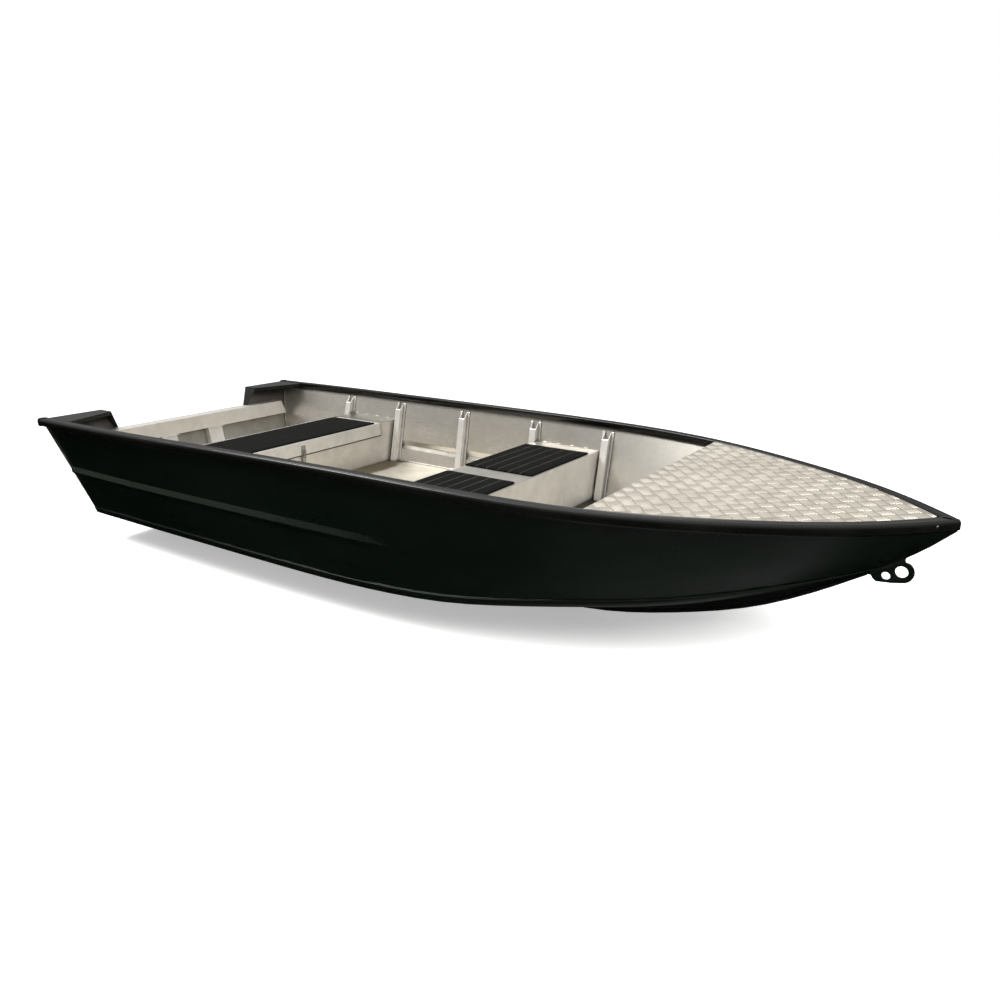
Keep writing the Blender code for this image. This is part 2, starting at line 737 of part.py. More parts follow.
def paint():
    """Each piece has its own material: black paint, bare aluminium, foam or steel."""
    kinds = {"foam": ((0.018, 0.018, 0.018), 0.0, 0.85), "bare": ((0.62, 0.61, 0.58), 1.0, 0.42),
             "steel": ((0.55, 0.55, 0.55), 1.0, 0.3), "black": ((0.012, 0.014, 0.013), 0.0, 0.35)}
    bare = ("motor_beam", "transom_brace", "floor", "foredeck", "deck_beam", "rib_", "stern_bench",
            "bench_lid", "middle_bench")
    for obj in collection.objects:
        if obj.type != "MESH":
            continue
        kind = "black"
        if "pad" in obj.name:
            kind = "foam"
        elif "latch" in obj.name or "hinge" in obj.name:
            kind = "steel"
        elif obj.name.startswith(bare):
            kind = "bare"
        colour, metallic, roughness = kinds[kind]
        material = bpy.data.materials.new(obj.name)
        material.use_nodes = True
        shader = material.node_tree.nodes["Principled BSDF"]
        shader.inputs["Base Color"].default_value = (*colour, 1)
        shader.inputs["Metallic"].default_value = metallic
        shader.inputs["Roughness"].default_value = roughness
        obj.data.materials.clear()
        obj.data.materials.append(material)


startScene()
keep(bpy.data.objects.new("boat_origin", None)).location = (-middleX, 0, 0)
hullPlates()
keelPieces()
chineStrips()
gunwales()
transom()
cornerPlates()
sternCaps()
floorAndDeck()
ribRooms = ribs()
insideSides = insideHull()
sternBench(insideSides, ribRooms[:2])
benchLid()
middleBench(insideSides, ribRooms[3:])
towEye()
paint()
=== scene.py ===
import bisect
import json
import random
from math import copysign, cos, hypot, pi, radians, sin, sqrt

import bmesh
import bpy
from mathutils import Matrix, Vector

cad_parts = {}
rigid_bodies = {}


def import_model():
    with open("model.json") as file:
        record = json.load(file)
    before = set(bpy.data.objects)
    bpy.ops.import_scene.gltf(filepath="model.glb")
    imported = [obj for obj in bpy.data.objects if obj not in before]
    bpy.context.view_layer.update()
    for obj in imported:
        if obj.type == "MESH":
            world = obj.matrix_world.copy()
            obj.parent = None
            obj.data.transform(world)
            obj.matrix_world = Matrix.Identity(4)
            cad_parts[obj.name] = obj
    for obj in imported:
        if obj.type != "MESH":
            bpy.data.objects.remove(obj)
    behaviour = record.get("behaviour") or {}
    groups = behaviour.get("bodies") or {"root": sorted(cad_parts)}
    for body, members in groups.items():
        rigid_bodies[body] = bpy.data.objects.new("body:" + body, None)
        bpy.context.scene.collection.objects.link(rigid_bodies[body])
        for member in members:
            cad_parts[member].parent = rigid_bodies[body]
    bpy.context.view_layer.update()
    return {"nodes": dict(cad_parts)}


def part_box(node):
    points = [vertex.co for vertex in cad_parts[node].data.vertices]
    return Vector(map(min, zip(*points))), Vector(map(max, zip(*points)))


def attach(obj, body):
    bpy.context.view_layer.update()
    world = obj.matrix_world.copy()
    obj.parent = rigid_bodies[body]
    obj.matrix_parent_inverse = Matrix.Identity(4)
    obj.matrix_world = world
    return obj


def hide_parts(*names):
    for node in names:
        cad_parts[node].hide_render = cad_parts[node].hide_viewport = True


for startupThing in list(bpy.data.objects):
    bpy.data.objects.remove(startupThing, do_unlink=True)

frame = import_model()
nodes = frame["nodes"]
print("frame loaded,", len(nodes), "nodes")

# Distances along the boat are stations from the transom's top, as in the part, so x = station - middle.
middle = 1.842
hullLines = {
    "sheer": 0.606,
    "beam": [(0.0, 0.7494), (0.5, 0.7505), (1.0, 0.7312), (1.5, 0.7095), (1.9, 0.694),
        (2.2, 0.683), (2.5, 0.6595), (2.75, 0.609), (2.95, 0.538), (3.15, 0.443),
        (3.3, 0.3585), (3.45, 0.2545), (3.6, 0.1185), (3.709, 0.0)],
    "rise": [(0.0, 0.0015), (0.7, 0.005), (1.4, 0.0093), (2.0, 0.0098), (2.5, 0.0042),
        (3.0, -0.0054), (3.709, -0.0152)],
}


def smoothLine(knots):
    # A natural cubic spline, straight past its ends.
    xs, ys = [k[0] for k in knots], [k[1] for k in knots]
    last = len(xs) - 1
    steps = [xs[i + 1] - xs[i] for i in range(last)]
    slopes = [(ys[i + 1] - ys[i]) / steps[i] for i in range(last)]
    bend, low, high = [0.0] * (last + 1), [0.0] * (last + 1), [0.0] * (last + 1)
    for i in range(1, last):
        scale = 2 * (xs[i + 1] - xs[i - 1]) - steps[i - 1] * low[i - 1]
        low[i] = steps[i] / scale
        high[i] = (6 * (slopes[i] - slopes[i - 1]) - steps[i - 1] * high[i - 1]) / scale
    for i in range(last - 1, 0, -1):
        bend[i] = high[i] - low[i] * bend[i + 1]

    def value(x):
        if x < xs[0]:
            return ys[0] + (slopes[0] - steps[0] * bend[1] / 6) * (x - xs[0])
        if x > xs[-1]:
            return ys[-1] + (slopes[-1] + steps[-1] * bend[-2] / 6) * (x - xs[-1])
        i = min(bisect.bisect_right(xs, x) - 1, last - 1)
        h, u, v = steps[i], xs[i + 1] - x, x - xs[i]
        return ((bend[i] * u**3 + bend[i + 1] * v**3) / (6 * h)
            + (ys[i] / h - bend[i] * h / 6) * u + (ys[i + 1] / h - bend[i + 1] * h / 6) * v)

    return value


gunwaleY = smoothLine(hullLines["beam"])
gunwaleRise = smoothLine(hullLines["rise"])


def gunwalePoint(station, inset, drop=0.0):
    # A point this far inside the port gunwale's outer edge, square to that edge.
    slope = (gunwaleY(station + 0.005) - gunwaleY(station - 0.005)) / 0.01
    length = hypot(1, slope)
    return Vector((station - middle + inset * slope / length, gunwaleY(station) - inset / length,
            hullLines["sheer"] + gunwaleRise(station) - drop))


def insetY(station, inset):
    # Half beam, at this station, of the line that runs this far inside the gunwale's edge.
    low, high = station - 0.1, station + 0.2
    for _ in range(40):
        guess = (low + high) / 2
        low, high = (guess, high) if gunwalePoint(guess, inset).x < station - middle else (low, guess)
    return gunwalePoint(low, inset).y


# Materials

def hexColour(code):
    values = [int(code[i:i + 2], 16) / 255 for i in (1, 3, 5)]
    return [v / 12.92 if v <= 0.04045 else ((v + 0.055) / 1.055) ** 2.4 for v in values] + [1.0]


def addNode(tree, kind, inputs=None, **settings):
    node = tree.nodes.new("ShaderNode" + kind)
    for name, value in settings.items():
        setattr(node, name, value)
    for name, value in (inputs or {}).items():
        if isinstance(value, bpy.types.NodeSocket):
            tree.links.new(value, node.inputs[name])
        else:
            node.inputs[name].default_value = value
    return node


def newMaterial(name):
    material = bpy.data.materials.new(name)
    material.use_nodes = True
    material.node_tree.nodes.clear()
    return material, material.node_tree


def stops(ramp, *points):
    # Fills a colour ramp from (place, grey or hex) pairs.
    elements = ramp.color_ramp.elements
    while len(elements) < len(points):
        elements.new(0.5)
    for element, (place, value) in zip(elements, points):
        element.position = place
        element.color = hexColour(value) if isinstance(value, str) else (value, value, value, 1)
    return ramp.outputs["Color"]


def finishMaterial(material, inputs):
    tree = material.node_tree
    shader = addNode(tree, "BsdfPrincipled", inputs)
    addNode(tree, "OutputMaterial", {"Surface": shader.outputs["BSDF"]})
    return material


def patches(tree, place, perMetre, detail, stretch=(1, 1, 1), rough=0.5):
    # Cloudy noise in real metres; stretch below 1 draws it out along that axis.
    scaled = addNode(tree, "Mapping", {"Vector": place, "Scale": stretch})
    return addNode(tree, "TexNoise", {"Vector": scaled.outputs["Vector"], "Scale": perMetre,
            "Detail": detail, "Roughness": rough})


# Nearly all of a noise pattern's values lie in this span.
noiseSpan = {"From Min": 0.3, "From Max": 0.7}

aluminiumLooks = {
    # Mill-finish 5052 sheet, folded: soft warm grey with the rolls' fine lines, cloudy marks and oil film.
    "millAluminium": {"light": "#f4f1ec", "dark": "#dfdbd4", "smooth": 0.34, "rough": 0.48, "metal": 0.80,
        "lineSpacing": 0.0016, "lineDepth": 0.00005, "grain": (0.04, 1, 1),
        "waveSpacing": (0.25, 0.12, 0.12), "waveDepth": 0.0016},
    # The hull's thin plate from inside: pulled into long soft waves by its welds, so it shines in bands.
    "weldedHullAluminium": {"light": "#ded9d0", "dark": "#c0bbb1", "smooth": 0.27, "rough": 0.42,
        "metal": 0.88, "lineSpacing": 0.0016, "lineDepth": 0.00005, "grain": (0.04, 1, 1),
        "waveSpacing": (0.16, 0.3, 0.6), "waveDepth": 0.006, "noCornerShade": True},
    # The benches' folded sheet: bright fronts, and tops darkened to a duller grey as painted shade.
    "benchAluminium": {"light": "#f6f2ea", "dark": "#e2ddd3", "smooth": 0.36, "rough": 0.50, "metal": 0.72,
        "lineSpacing": 0.0020, "lineDepth": 0.00004, "grain": (0.05, 0.05, 1),
        "waveSpacing": (0.25, 0.22, 0.12), "waveDepth": 0.0016,
        "mottleAndPaintedShade": [("Z", 0.4782, 0.60, 0.0004, "#a8a69d")]},
    # The stern bench's sheet, older and greyer than the middle one's, its top darkened further as painted
    # shade.
    "greyedBenchAluminium": {"light": "#e8e3da", "dark": "#d0cbc2", "smooth": 0.34, "rough": 0.48,
        "metal": 0.80, "lineSpacing": 0.0020, "lineDepth": 0.00004, "grain": (0.05, 0.05, 1),
        "waveSpacing": (0.25, 0.22, 0.12), "waveDepth": 0.0020,
        "mottleAndPaintedShade": [("Z", 0.4782, 0.60, 0.0004, "#6a6963")]},
    # The ledge that the swage makes inside the hull, in a darker, duller tone than the plate round it.
    "darkerLedgeAluminium": {"light": "#8d8a81", "dark": "#6f6c64", "smooth": 0.42, "rough": 0.56,
        "metal": 0.70, "lineSpacing": 0.0016, "lineDepth": 0.00005, "grain": (0.04, 1, 1),
        "waveSpacing": (0.16, 0.3, 0.6), "waveDepth": 0.004, "noCornerShade": True},
    # Hand-brushed lid sheet, a shade cooler than the bench under it.
    "brushedAluminium": {"light": "#f2f0ec", "dark": "#dddbd7", "smooth": 0.32, "rough": 0.46, "metal": 0.82,
        "lineSpacing": 0.0014, "lineDepth": 0.00006, "grain": (1, 0.03, 1),
        "waveSpacing": (0.25, 0.25, 0.12), "waveDepth": 0.0016},
    # The transom's inner face: bare sheet drawn darker as painted shade, and darker still near its top as
    # the painted shadow of the corner plates.
    "transomAluminiumPaintedShade": {"light": "#a39f96", "dark": "#8a867d", "smooth": 0.40, "rough": 0.55,
        "metal": 0.75, "lineSpacing": 0.0016, "lineDepth": 0.00005, "grain": (1, 0.04, 1),
        "waveSpacing": (0.3, 0.3, 0.3), "waveDepth": 0.004,
        "mottleAndPaintedShade": [("Z", 0.485, 0.70, 0.02, "#75716b")]},
    # The floor sheet, walked on and washed to a pale scuffed tone, with painted shade: an olive-brown band
    # in front of each bench.
    "scuffedAluminium": {"light": "#c4bfb3", "dark": "#a8a294", "smooth": 0.42, "rough": 0.60, "metal": 0.70,
        "lineSpacing": 0.0022, "lineDepth": 0.00006, "grain": (0.05, 1, 1),
        "waveSpacing": (0.3, 0.3, 0.3), "waveDepth": 0.004,
        "mottleAndPaintedShade": [("X", -0.98, -0.80, 0.03, "#5d5643"), ("X", 0.335, 0.42, 0.02, "#2e2b20")]},
    # Rolled tread plate: a dull satin ground between the raised bars.
    "treadPlateAluminium": {"light": "#b8b1a5", "dark": "#9a9388", "smooth": 0.44, "rough": 0.60,
        "metal": 0.80, "lineSpacing": 0.0025, "lineDepth": 0.00004, "grain": (1, 0.06, 1),
        "waveSpacing": (0.3, 0.3, 0.3), "waveDepth": 0.003, "noCornerShade": True},
    # The bars' tops, burnished by the rolls and by boots.
    "burnishedAluminium": {"light": "#dcd6ca", "dark": "#c2bbaf", "smooth": 0.36, "rough": 0.52,
        "metal": 0.85, "lineSpacing": 0.0020, "lineDepth": 0.00003, "grain": (1, 0.08, 1),
        "waveSpacing": (0.3, 0.3, 0.3), "waveDepth": 0.001, "noCornerShade": True},
}
# Painted shade: ambient occlusion darkens the tone towards a shade colour in the inner corners, within a few
# centimetres of them.
cornerShade = {"reach": 0.018, "smallReach": 0.005, "open": 0.85, "shut": 0.40, "colour": "#4a453b",
    "share": 0.72}


def cornerShaded(tree, tone, reach):
    # The tone, darkened towards the shade colour in corners up to this far from them: painted shade.
    corner = addNode(tree, "AmbientOcclusion", {"Distance": reach}, samples=8)
    shadeShare = addNode(tree, "MapRange", {"Value": corner.outputs["AO"], "From Min": cornerShade["shut"],
            "From Max": cornerShade["open"], "To Min": cornerShade["share"], "To Max": 0.0})
    return addNode(tree, "Mix", {"Factor": shadeShare.outputs["Result"], "A": tone,
            "B": hexColour(cornerShade["colour"])}, data_type="RGBA").outputs["Result"]


def makeAluminium(name):
    look = aluminiumLooks[name]
    material, tree = newMaterial(name)
    place = addNode(tree, "TexCoord").outputs["Object"]
    # The rolling lines are finer than a pixel on the real sheet, so they are drawn a little coarser.
    lines = patches(tree, place, 1 / look["lineSpacing"], 2.0, look["grain"])
    clouds = patches(tree, place, 5.5, 5.0, (1, 1, 1), 0.6)
    smudges = patches(tree, place, 21.0, 3.0, (0.5, 1, 1), 0.55)
    mixed = addNode(tree, "Mix", {"Factor": 0.45, "A": clouds.outputs["Fac"], "B": smudges.outputs["Fac"]})
    tone = stops(addNode(tree, "ValToRGB", {"Fac": mixed.outputs["Result"]}),
        (0.32, look["dark"]), (0.62, look["light"]))
    # Painted shade: bands along one axis, with ragged edges, darkened towards the given colour.
    for axis, start, end, soft, colour in look.get("mottleAndPaintedShade", []):
        along = addNode(tree, "SeparateXYZ", {"Vector": place}).outputs[axis]
        ragged = addNode(tree, "Math", {0: clouds.outputs["Fac"], 1: soft * 4, 2: along},
            operation="MULTIPLY_ADD").outputs["Value"]
        shares = [addNode(tree, "MapRange", {"Value": ragged, "From Min": at + soft * 1.5,
                "From Max": at + soft * 2.5, "To Min": low, "To Max": 1 - low})
            for at, low in ((start, 0), (end, 1))]
        both = addNode(tree, "Math", {0: shares[0].outputs["Result"], 1: shares[1].outputs["Result"]},
            operation="MULTIPLY")
        tone = addNode(tree, "Mix", {"Factor": both.outputs["Value"], "A": tone,
                "B": hexColour(colour)}, data_type="RGBA").outputs["Result"]
    # Painted shade, darker in the inner corners, unless the look leaves it out.
    if not look.get("noCornerShade"):
        tone = cornerShaded(tree, tone, cornerShade["reach"])
    shine = addNode(tree, "MapRange", {"Value": mixed.outputs["Result"], **noiseSpan,
            "To Min": look["rough"], "To Max": look["smooth"]})
    streaks = addNode(tree, "MapRange", {"Value": lines.outputs["Fac"], **noiseSpan, "To Min": -0.05,
            "To Max": 0.05})
    dullness = addNode(tree, "Math", {0: shine.outputs["Result"], 1: streaks.outputs["Result"]},
        operation="ADD")
    grooves = addNode(tree, "Bump", {"Strength": 0.5, "Distance": look["lineDepth"],
            "Height": lines.outputs["Fac"]})
    waves = patches(tree, place, 1.0, 1.5, [1 / spacing for spacing in look["waveSpacing"]])
    dents = addNode(tree, "Bump", {"Strength": 0.35, "Distance": look["waveDepth"],
            "Height": waves.outputs["Fac"], "Normal": grooves.outputs["Normal"]})
    return finishMaterial(material, {
            "Base Color": tone, "Metallic": look["metal"], "Roughness": dullness.outputs["Value"],
            "Normal": dents.outputs["Normal"]})


paintLooks = {
    # Satin black powder coat on aluminium: a trace of green, soft highlights, faint orange peel.
    "powderCoatedAluminium": {"base": "#040b06", "dust": "#07100a", "smooth": 0.26, "rough": 0.36,
        "shine": 0.42, "peelSpacing": 0.004, "peelDepth": 0.00005},
    # The coat on the gunwales, rubbed by hands and ropes to a browner, duller black.
    "powderCoatedExtrusion": {"base": "#060605", "dust": "#0e0d0a", "smooth": 0.18, "rough": 0.28,
        "shine": 0.42, "peelSpacing": 0.003, "peelDepth": 0.00005},
    # The coat on the swage's upper faces, drawn paler than the rest as a painted highlight, most of all aft.
    "powderCoatPaintedHighlight": {"base": "#0a110c", "dust": "#101811", "smooth": 0.24, "rough": 0.34,
        "shine": 0.60, "peelSpacing": 0.003, "peelDepth": 0.00005, "paintedHighlight": (-1.75, 0.0, "#20251f")},
    # The coat over weld beads and on the sharp folds, a little thinner and rougher.
    "powderCoatedWeld": {"base": "#0b0e0c", "dust": "#1e211e", "smooth": 0.25, "rough": 0.42,
        "shine": 0.50, "peelSpacing": 0.003, "peelDepth": 0.00008},
}


def makePaint(name):
    look = paintLooks[name]
    material, tree = newMaterial(name)
    place = addNode(tree, "TexCoord").outputs["Object"]
    clouds = patches(tree, place, 7.0, 6.0, (0.35, 1, 1), 0.65)
    specks = patches(tree, place, 160.0, 2.0)
    tone = stops(addNode(tree, "ValToRGB", {"Fac": clouds.outputs["Fac"]}),
        (0.45, look["base"]), (0.85, look["dust"]))
    # Painted highlight: paler towards the stern.
    if "paintedHighlight" in look:
        full, none, colour = look["paintedHighlight"]
        along = addNode(tree, "SeparateXYZ", {"Vector": place}).outputs["X"]
        wearAndPaintedHighlight = addNode(tree, "MapRange", {"Value": along, "From Min": full, "From Max": none,
                "To Min": 1.0, "To Max": 0.0})
        tone = addNode(tree, "Mix", {"Factor": wearAndPaintedHighlight.outputs["Result"], "A": tone,
                "B": hexColour(colour)}, data_type="RGBA").outputs["Result"]
    mottleAndPaintedShade = addNode(tree, "Mix", {"Factor": 0.25, "A": clouds.outputs["Fac"], "B": specks.outputs["Fac"]})
    shine = addNode(tree, "MapRange", {"Value": mottleAndPaintedShade.outputs["Result"], **noiseSpan,
            "To Min": look["smooth"], "To Max": look["rough"]})
    # Orange peel is 1 to 3 mm across on the real coat, and drawn at 4 mm so that it shows.
    peel = patches(tree, place, 1 / look["peelSpacing"], 1.0)
    bump = addNode(tree, "Bump", {"Strength": 0.5, "Distance": look["peelDepth"],
            "Height": peel.outputs["Fac"]})
    waves = patches(tree, place, 4.0, 1.0)
    panels = addNode(tree, "Bump", {"Strength": 0.3, "Distance": 0.002, "Height": waves.outputs["Fac"],
            "Normal": bump.outputs["Normal"]})
    return finishMaterial(material, {
            "Base Color": tone, "Roughness": shine.outputs["Result"], "IOR": 1.5,
            "Specular IOR Level": look["shine"], "Normal": panels.outputs["Normal"]})


foamLook = {"base": "#060605", "wearAndPaintedHighlight": "#100f0e", "cellSpacing": 0.0022, "cellDepth": 0.00022, "shine": 0.12,
    "groove": "#3c3b38", "grooveWorn": "#545350"}


def makeFoam(name, base, wearAndPaintedHighlight):
    # Closed-cell EVA sheet, split and lightly sanded: matt black with a fine pebbled skin and pale scuffs.
    # Where a router has cut through the top layer, the lower layer shows as a paler grey line.
    material, tree = newMaterial(name)
    place = addNode(tree, "TexCoord").outputs["Object"]
    cells = addNode(tree, "TexVoronoi", {"Vector": place, "Scale": 1 / foamLook["cellSpacing"]})
    scuffs = patches(tree, place, 14.0, 6.0, (1, 0.4, 1), 0.7)
    tone = stops(addNode(tree, "ValToRGB", {"Fac": scuffs.outputs["Fac"]}), (0.40, base), (0.75, wearAndPaintedHighlight))
    dull = addNode(tree, "MapRange", {"Value": scuffs.outputs["Fac"], **noiseSpan, "To Min": 0.78,
            "To Max": 0.92})
    bump = addNode(tree, "Bump", {"Strength": 0.6, "Distance": foamLook["cellDepth"],
            "Height": cells.outputs["Distance"]})
    return finishMaterial(material, {
            "Base Color": tone, "Roughness": dull.outputs["Result"], "IOR": 1.45,
            "Specular IOR Level": foamLook["shine"], "Normal": bump.outputs["Normal"]})


smallMetalLooks = {
    # MIG bead left as welded: bright ripples with grey oxide between them.
    "weldedAluminium": {"light": "#f1eee6", "dark": "#8f8b80", "smooth": 0.30, "rough": 0.55,
        "spacing": 0.004},
    # Pressed stainless steel, tumbled bright.
    "pressedStainlessSteel": {"light": "#cfd0cd", "dark": "#9b9b96", "smooth": 0.18, "rough": 0.34,
        "spacing": 0.006},
    # Aluminium blind rivet, bare and bright.
    "drawnAluminiumRivet": {"light": "#e4e3de", "dark": "#b7b6af", "smooth": 0.2, "rough": 0.35,
        "spacing": 0.003},
}


def makeSmallMetal(name):
    look = smallMetalLooks[name]
    material, tree = newMaterial(name)
    place = addNode(tree, "TexCoord").outputs["Object"]
    grains = patches(tree, place, 1 / look["spacing"], 3.0)
    tone = stops(addNode(tree, "ValToRGB", {"Fac": grains.outputs["Fac"]}),
        (0.35, look["dark"]), (0.6, look["light"]))
    # Painted shade, darker in the small corners.
    tone = cornerShaded(tree, tone, cornerShade["smallReach"])
    shine = addNode(tree, "MapRange", {"Value": grains.outputs["Fac"], **noiseSpan, "To Min": look["rough"],
            "To Max": look["smooth"]})
    bump = addNode(tree, "Bump", {"Strength": 0.4, "Distance": 0.0001, "Height": grains.outputs["Fac"]})
    return finishMaterial(material, {
            "Base Color": tone, "Metallic": 1.0, "Roughness": shine.outputs["Result"],
            "Normal": bump.outputs["Normal"]})


capLook = {"base": "#0c0d0c", "pale": "#2a2b29", "spacing": 0.0025}


def makeCapPlastic():
    # Moulded polyethylene: black with a faint waxy bloom and a spark-eroded texture.
    material, tree = newMaterial("mouldedPolyethylene")
    place = addNode(tree, "TexCoord").outputs["Object"]
    texture = patches(tree, place, 1 / capLook["spacing"], 3.0)
    bloom = patches(tree, place, 60.0, 3.0)
    tone = stops(addNode(tree, "ValToRGB", {"Fac": bloom.outputs["Fac"]}),
        (0.45, capLook["base"]), (0.8, capLook["pale"]))
    dull = addNode(tree, "MapRange", {"Value": bloom.outputs["Fac"], **noiseSpan, "To Min": 0.35,
            "To Max": 0.55})
    bump = addNode(tree, "Bump", {"Strength": 0.4, "Distance": 0.0001, "Height": texture.outputs["Fac"]})
    return finishMaterial(material, {
            "Base Color": tone, "Roughness": dull.outputs["Result"], "IOR": 1.51,
            "Normal": bump.outputs["Normal"]})


finishes = {name: makeAluminium(name) for name in aluminiumLooks}
finishes.update({name: makePaint(name) for name in paintLooks})
finishes.update({name: makeSmallMetal(name) for name in smallMetalLooks})
finishes["sandedEvaFoam"] = makeFoam("sandedEvaFoam", foamLook["base"], foamLook["wearAndPaintedHighlight"])
finishes["routedEvaFoam"] = makeFoam("routedEvaFoam", foamLook["groove"], foamLook["grooveWorn"])
finishes["mouldedPolyethylene"] = makeCapPlastic()
print("materials made,", len(finishes))

# CAD nodes: finish by name, and edges eased by a modifier, which leaves their meshes alone.
nodeFinishes = [("stern_cap", "mouldedPolyethylene"), ("floor_plate", "scuffedAluminium"),
    ("foredeck", "treadPlateAluminium"), ("motor_beam", "millAluminium"),
    ("transom_brace", "millAluminium"), ("deck_beam", "millAluminium"),
    ("rib_", "millAluminium"), ("stern_bench", "greyedBenchAluminium"),
    ("bench_lid", "brushedAluminium"), ("middle_bench", "benchAluminium"),
    ("latch", "pressedStainlessSteel"), ("lid_hinge", "pressedStainlessSteel"),
    ("", "powderCoatedAluminium")]
edgeSizes = {"width": 0.0011, "segments": 2, "angle": 28, "merge": 0.00002}
skinned = ("side_plate", "bottom_plate", "chine_strip", "keel_strip", "tow_eye", "transom_plate", "gunwale",
    "stern_cap", "latch", "lid_hinge", "stern_pad", "middle_pad")


def easeEdges(obj):
    weld = obj.modifiers.new("one skin", "WELD")
    weld.merge_threshold = edgeSizes["merge"]
    edge = obj.modifiers.new("eased edges", "BEVEL")
    edge.width = edgeSizes["width"]
    edge.segments = edgeSizes["segments"]
    edge.limit_method = "ANGLE"
    edge.angle_limit = radians(edgeSizes["angle"])
    edge.harden_normals = True


for name, node in nodes.items():
    finish = next(f for start, f in nodeFinishes if name.startswith(start))
    for materialSlot in node.material_slots:
        materialSlot.material = finishes[finish]
    if not name.startswith(skinned):
        easeEdges(node)
print("nodes finished")

# Helpers that make new pieces

def newPiece(name, mesh, finish, body="boat"):
    obj = bpy.data.objects.new(name, mesh)
    bpy.context.scene.collection.objects.link(obj)
    mesh.materials.append(finishes[finish])
    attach(obj, body)
    return obj


def meshFrom(name, points, faces, merge=True):
    mesh = bpy.data.meshes.new(name)
    mesh.from_pydata([tuple(p) for p in points], [], faces)
    edit = bmesh.new()
    edit.from_mesh(mesh)
    if merge:
        bmesh.ops.remove_doubles(edit, verts=edit.verts, dist=1e-6)
    bmesh.ops.recalc_face_normals(edit, faces=edit.faces)
    edit.to_mesh(mesh)
    edit.free()
    mesh.polygons.foreach_set("use_smooth", [True] * len(mesh.polygons))
    return mesh


def sharpen(mesh, degrees):
    # Marks creases, so that faces shade smooth only across gentle bends.
    edit = bmesh.new()
    edit.from_mesh(mesh)
    for edge in edit.edges:
        edge.smooth = edge.is_manifold and edge.calc_face_angle(0) < radians(degrees)
    edit.to_mesh(mesh)
    edit.free()
    return mesh


def tube(rings, closedEnds=True):
    # Points and faces of a skin through rings of equal length.
    count = len(rings[0])
    points = [p for ring in rings for p in ring]
    faces = [(i * count + j, i * count + (j + 1) % count, (i + 1) * count + (j + 1) % count,
            (i + 1) * count + j) for i in range(len(rings) - 1) for j in range(count)]
    if closedEnds:
        faces += [tuple(range(count))[::-1], tuple((len(rings) - 1) * count + j for j in range(count))]
    return points, faces


def squareAxes(ahead, first=(0, 0, 1), second=(1, 0, 0)):
    # Two directions square to this one and to each other.
    other = Vector(first if abs(ahead.dot(Vector(first))) < 0.9 else second)
    side = ahead.cross(other).normalized()
    return side, side.cross(ahead)


def ringAround(centre, side, up, radius, sides):
    return [centre + (side * cos(t) + up * sin(t)) * radius
        for t in (2 * pi * k / sides for k in range(sides))]


def mirrorMesh(mesh, name):
    copy = mesh.copy()
    copy.name = name
    copy.transform(Matrix.Scale(-1, 4, (0, 1, 0)))
    copy.flip_normals()
    return copy


def bothSides(name, mesh, finish, body="boat"):
    # The piece on the port side and its mirror image on the starboard side.
    other = mirrorMesh(mesh, name + "_starboard")
    return (newPiece(name + "_port", mesh, finish, body),
        newPiece(name + "_starboard", other, finish, body))


def joined(parts):
    # Several (points, faces) as one.
    points, faces = [], []
    for morePoints, moreFaces in parts:
        start = len(points)
        points += morePoints
        faces += [tuple(start + i for i in face) for face in moreFaces]
    return points, faces


# Gunwales, with the groove between the flat top and the half-round outside

railSize = {"width": 0.045, "depth": 0.033, "wall": 0.003, "rings": 150, "end": 3.739, "noseRadius": 0.014,
    "tip": 3.709}


def railSection():
    width, depth, wall = railSize["width"], railSize["depth"], railSize["wall"]
    outside = [(0.0035, depth), (0.0012, depth - 0.0012), (0.0002, depth - 0.0035), (0.0, depth * 0.60),
        (0.0, 0.0135), (0.0005, 0.0095), (0.0016, 0.0060), (0.0030, 0.0036), (0.0045, 0.0018),
        (0.0052, 0.0016), (0.0060, 0.0048), (0.0078, 0.0048), (0.0086, 0.0016), (0.0100, 0.0003),
        (0.0116, 0.0), (0.0134, 0.0001), (0.0142, 0.0010), (0.0150, 0.0020)]
    inside = [(width - 0.004, 0.0020), (width - 0.0030, 0.0012), (width - 0.0014, 0.0012),
        (width - 0.0002, 0.0030), (width, 0.0050),
        (width, depth - 0.0012), (width - 0.0010, depth), (width - wall, depth),
        (width - wall, wall + 0.001), (0.0085, wall + 0.001), (0.0050, depth * 0.28),
        (wall, depth * 0.47), (wall + 0.0008, depth * 0.8), (0.0065, depth)]
    return outside + inside


def roundNose(edit):
    # The two rails meet in a point; the real nose is a short round cap, so the point is drawn back.
    tip, radius = railSize["tip"], railSize["noseRadius"]
    back = gunwalePoint(tip - 0.03, 0.0)
    run, rise = tip - middle - back.x, back.y
    normal = Vector((rise, run)).normalized()
    centreX = tip - middle - radius / normal.x
    for vertex in edit.verts:
        reach = Vector((vertex.co.x - centreX, vertex.co.y))
        if reach.x <= 0 or reach.length < 1e-6:
            continue
        turn = reach.normalized().dot(normal)
        if reach.x / reach.length > normal.x and reach.length > radius * 0.3:
            vertex.co.x = centreX + reach.x * turn
            vertex.co.y = reach.y * turn


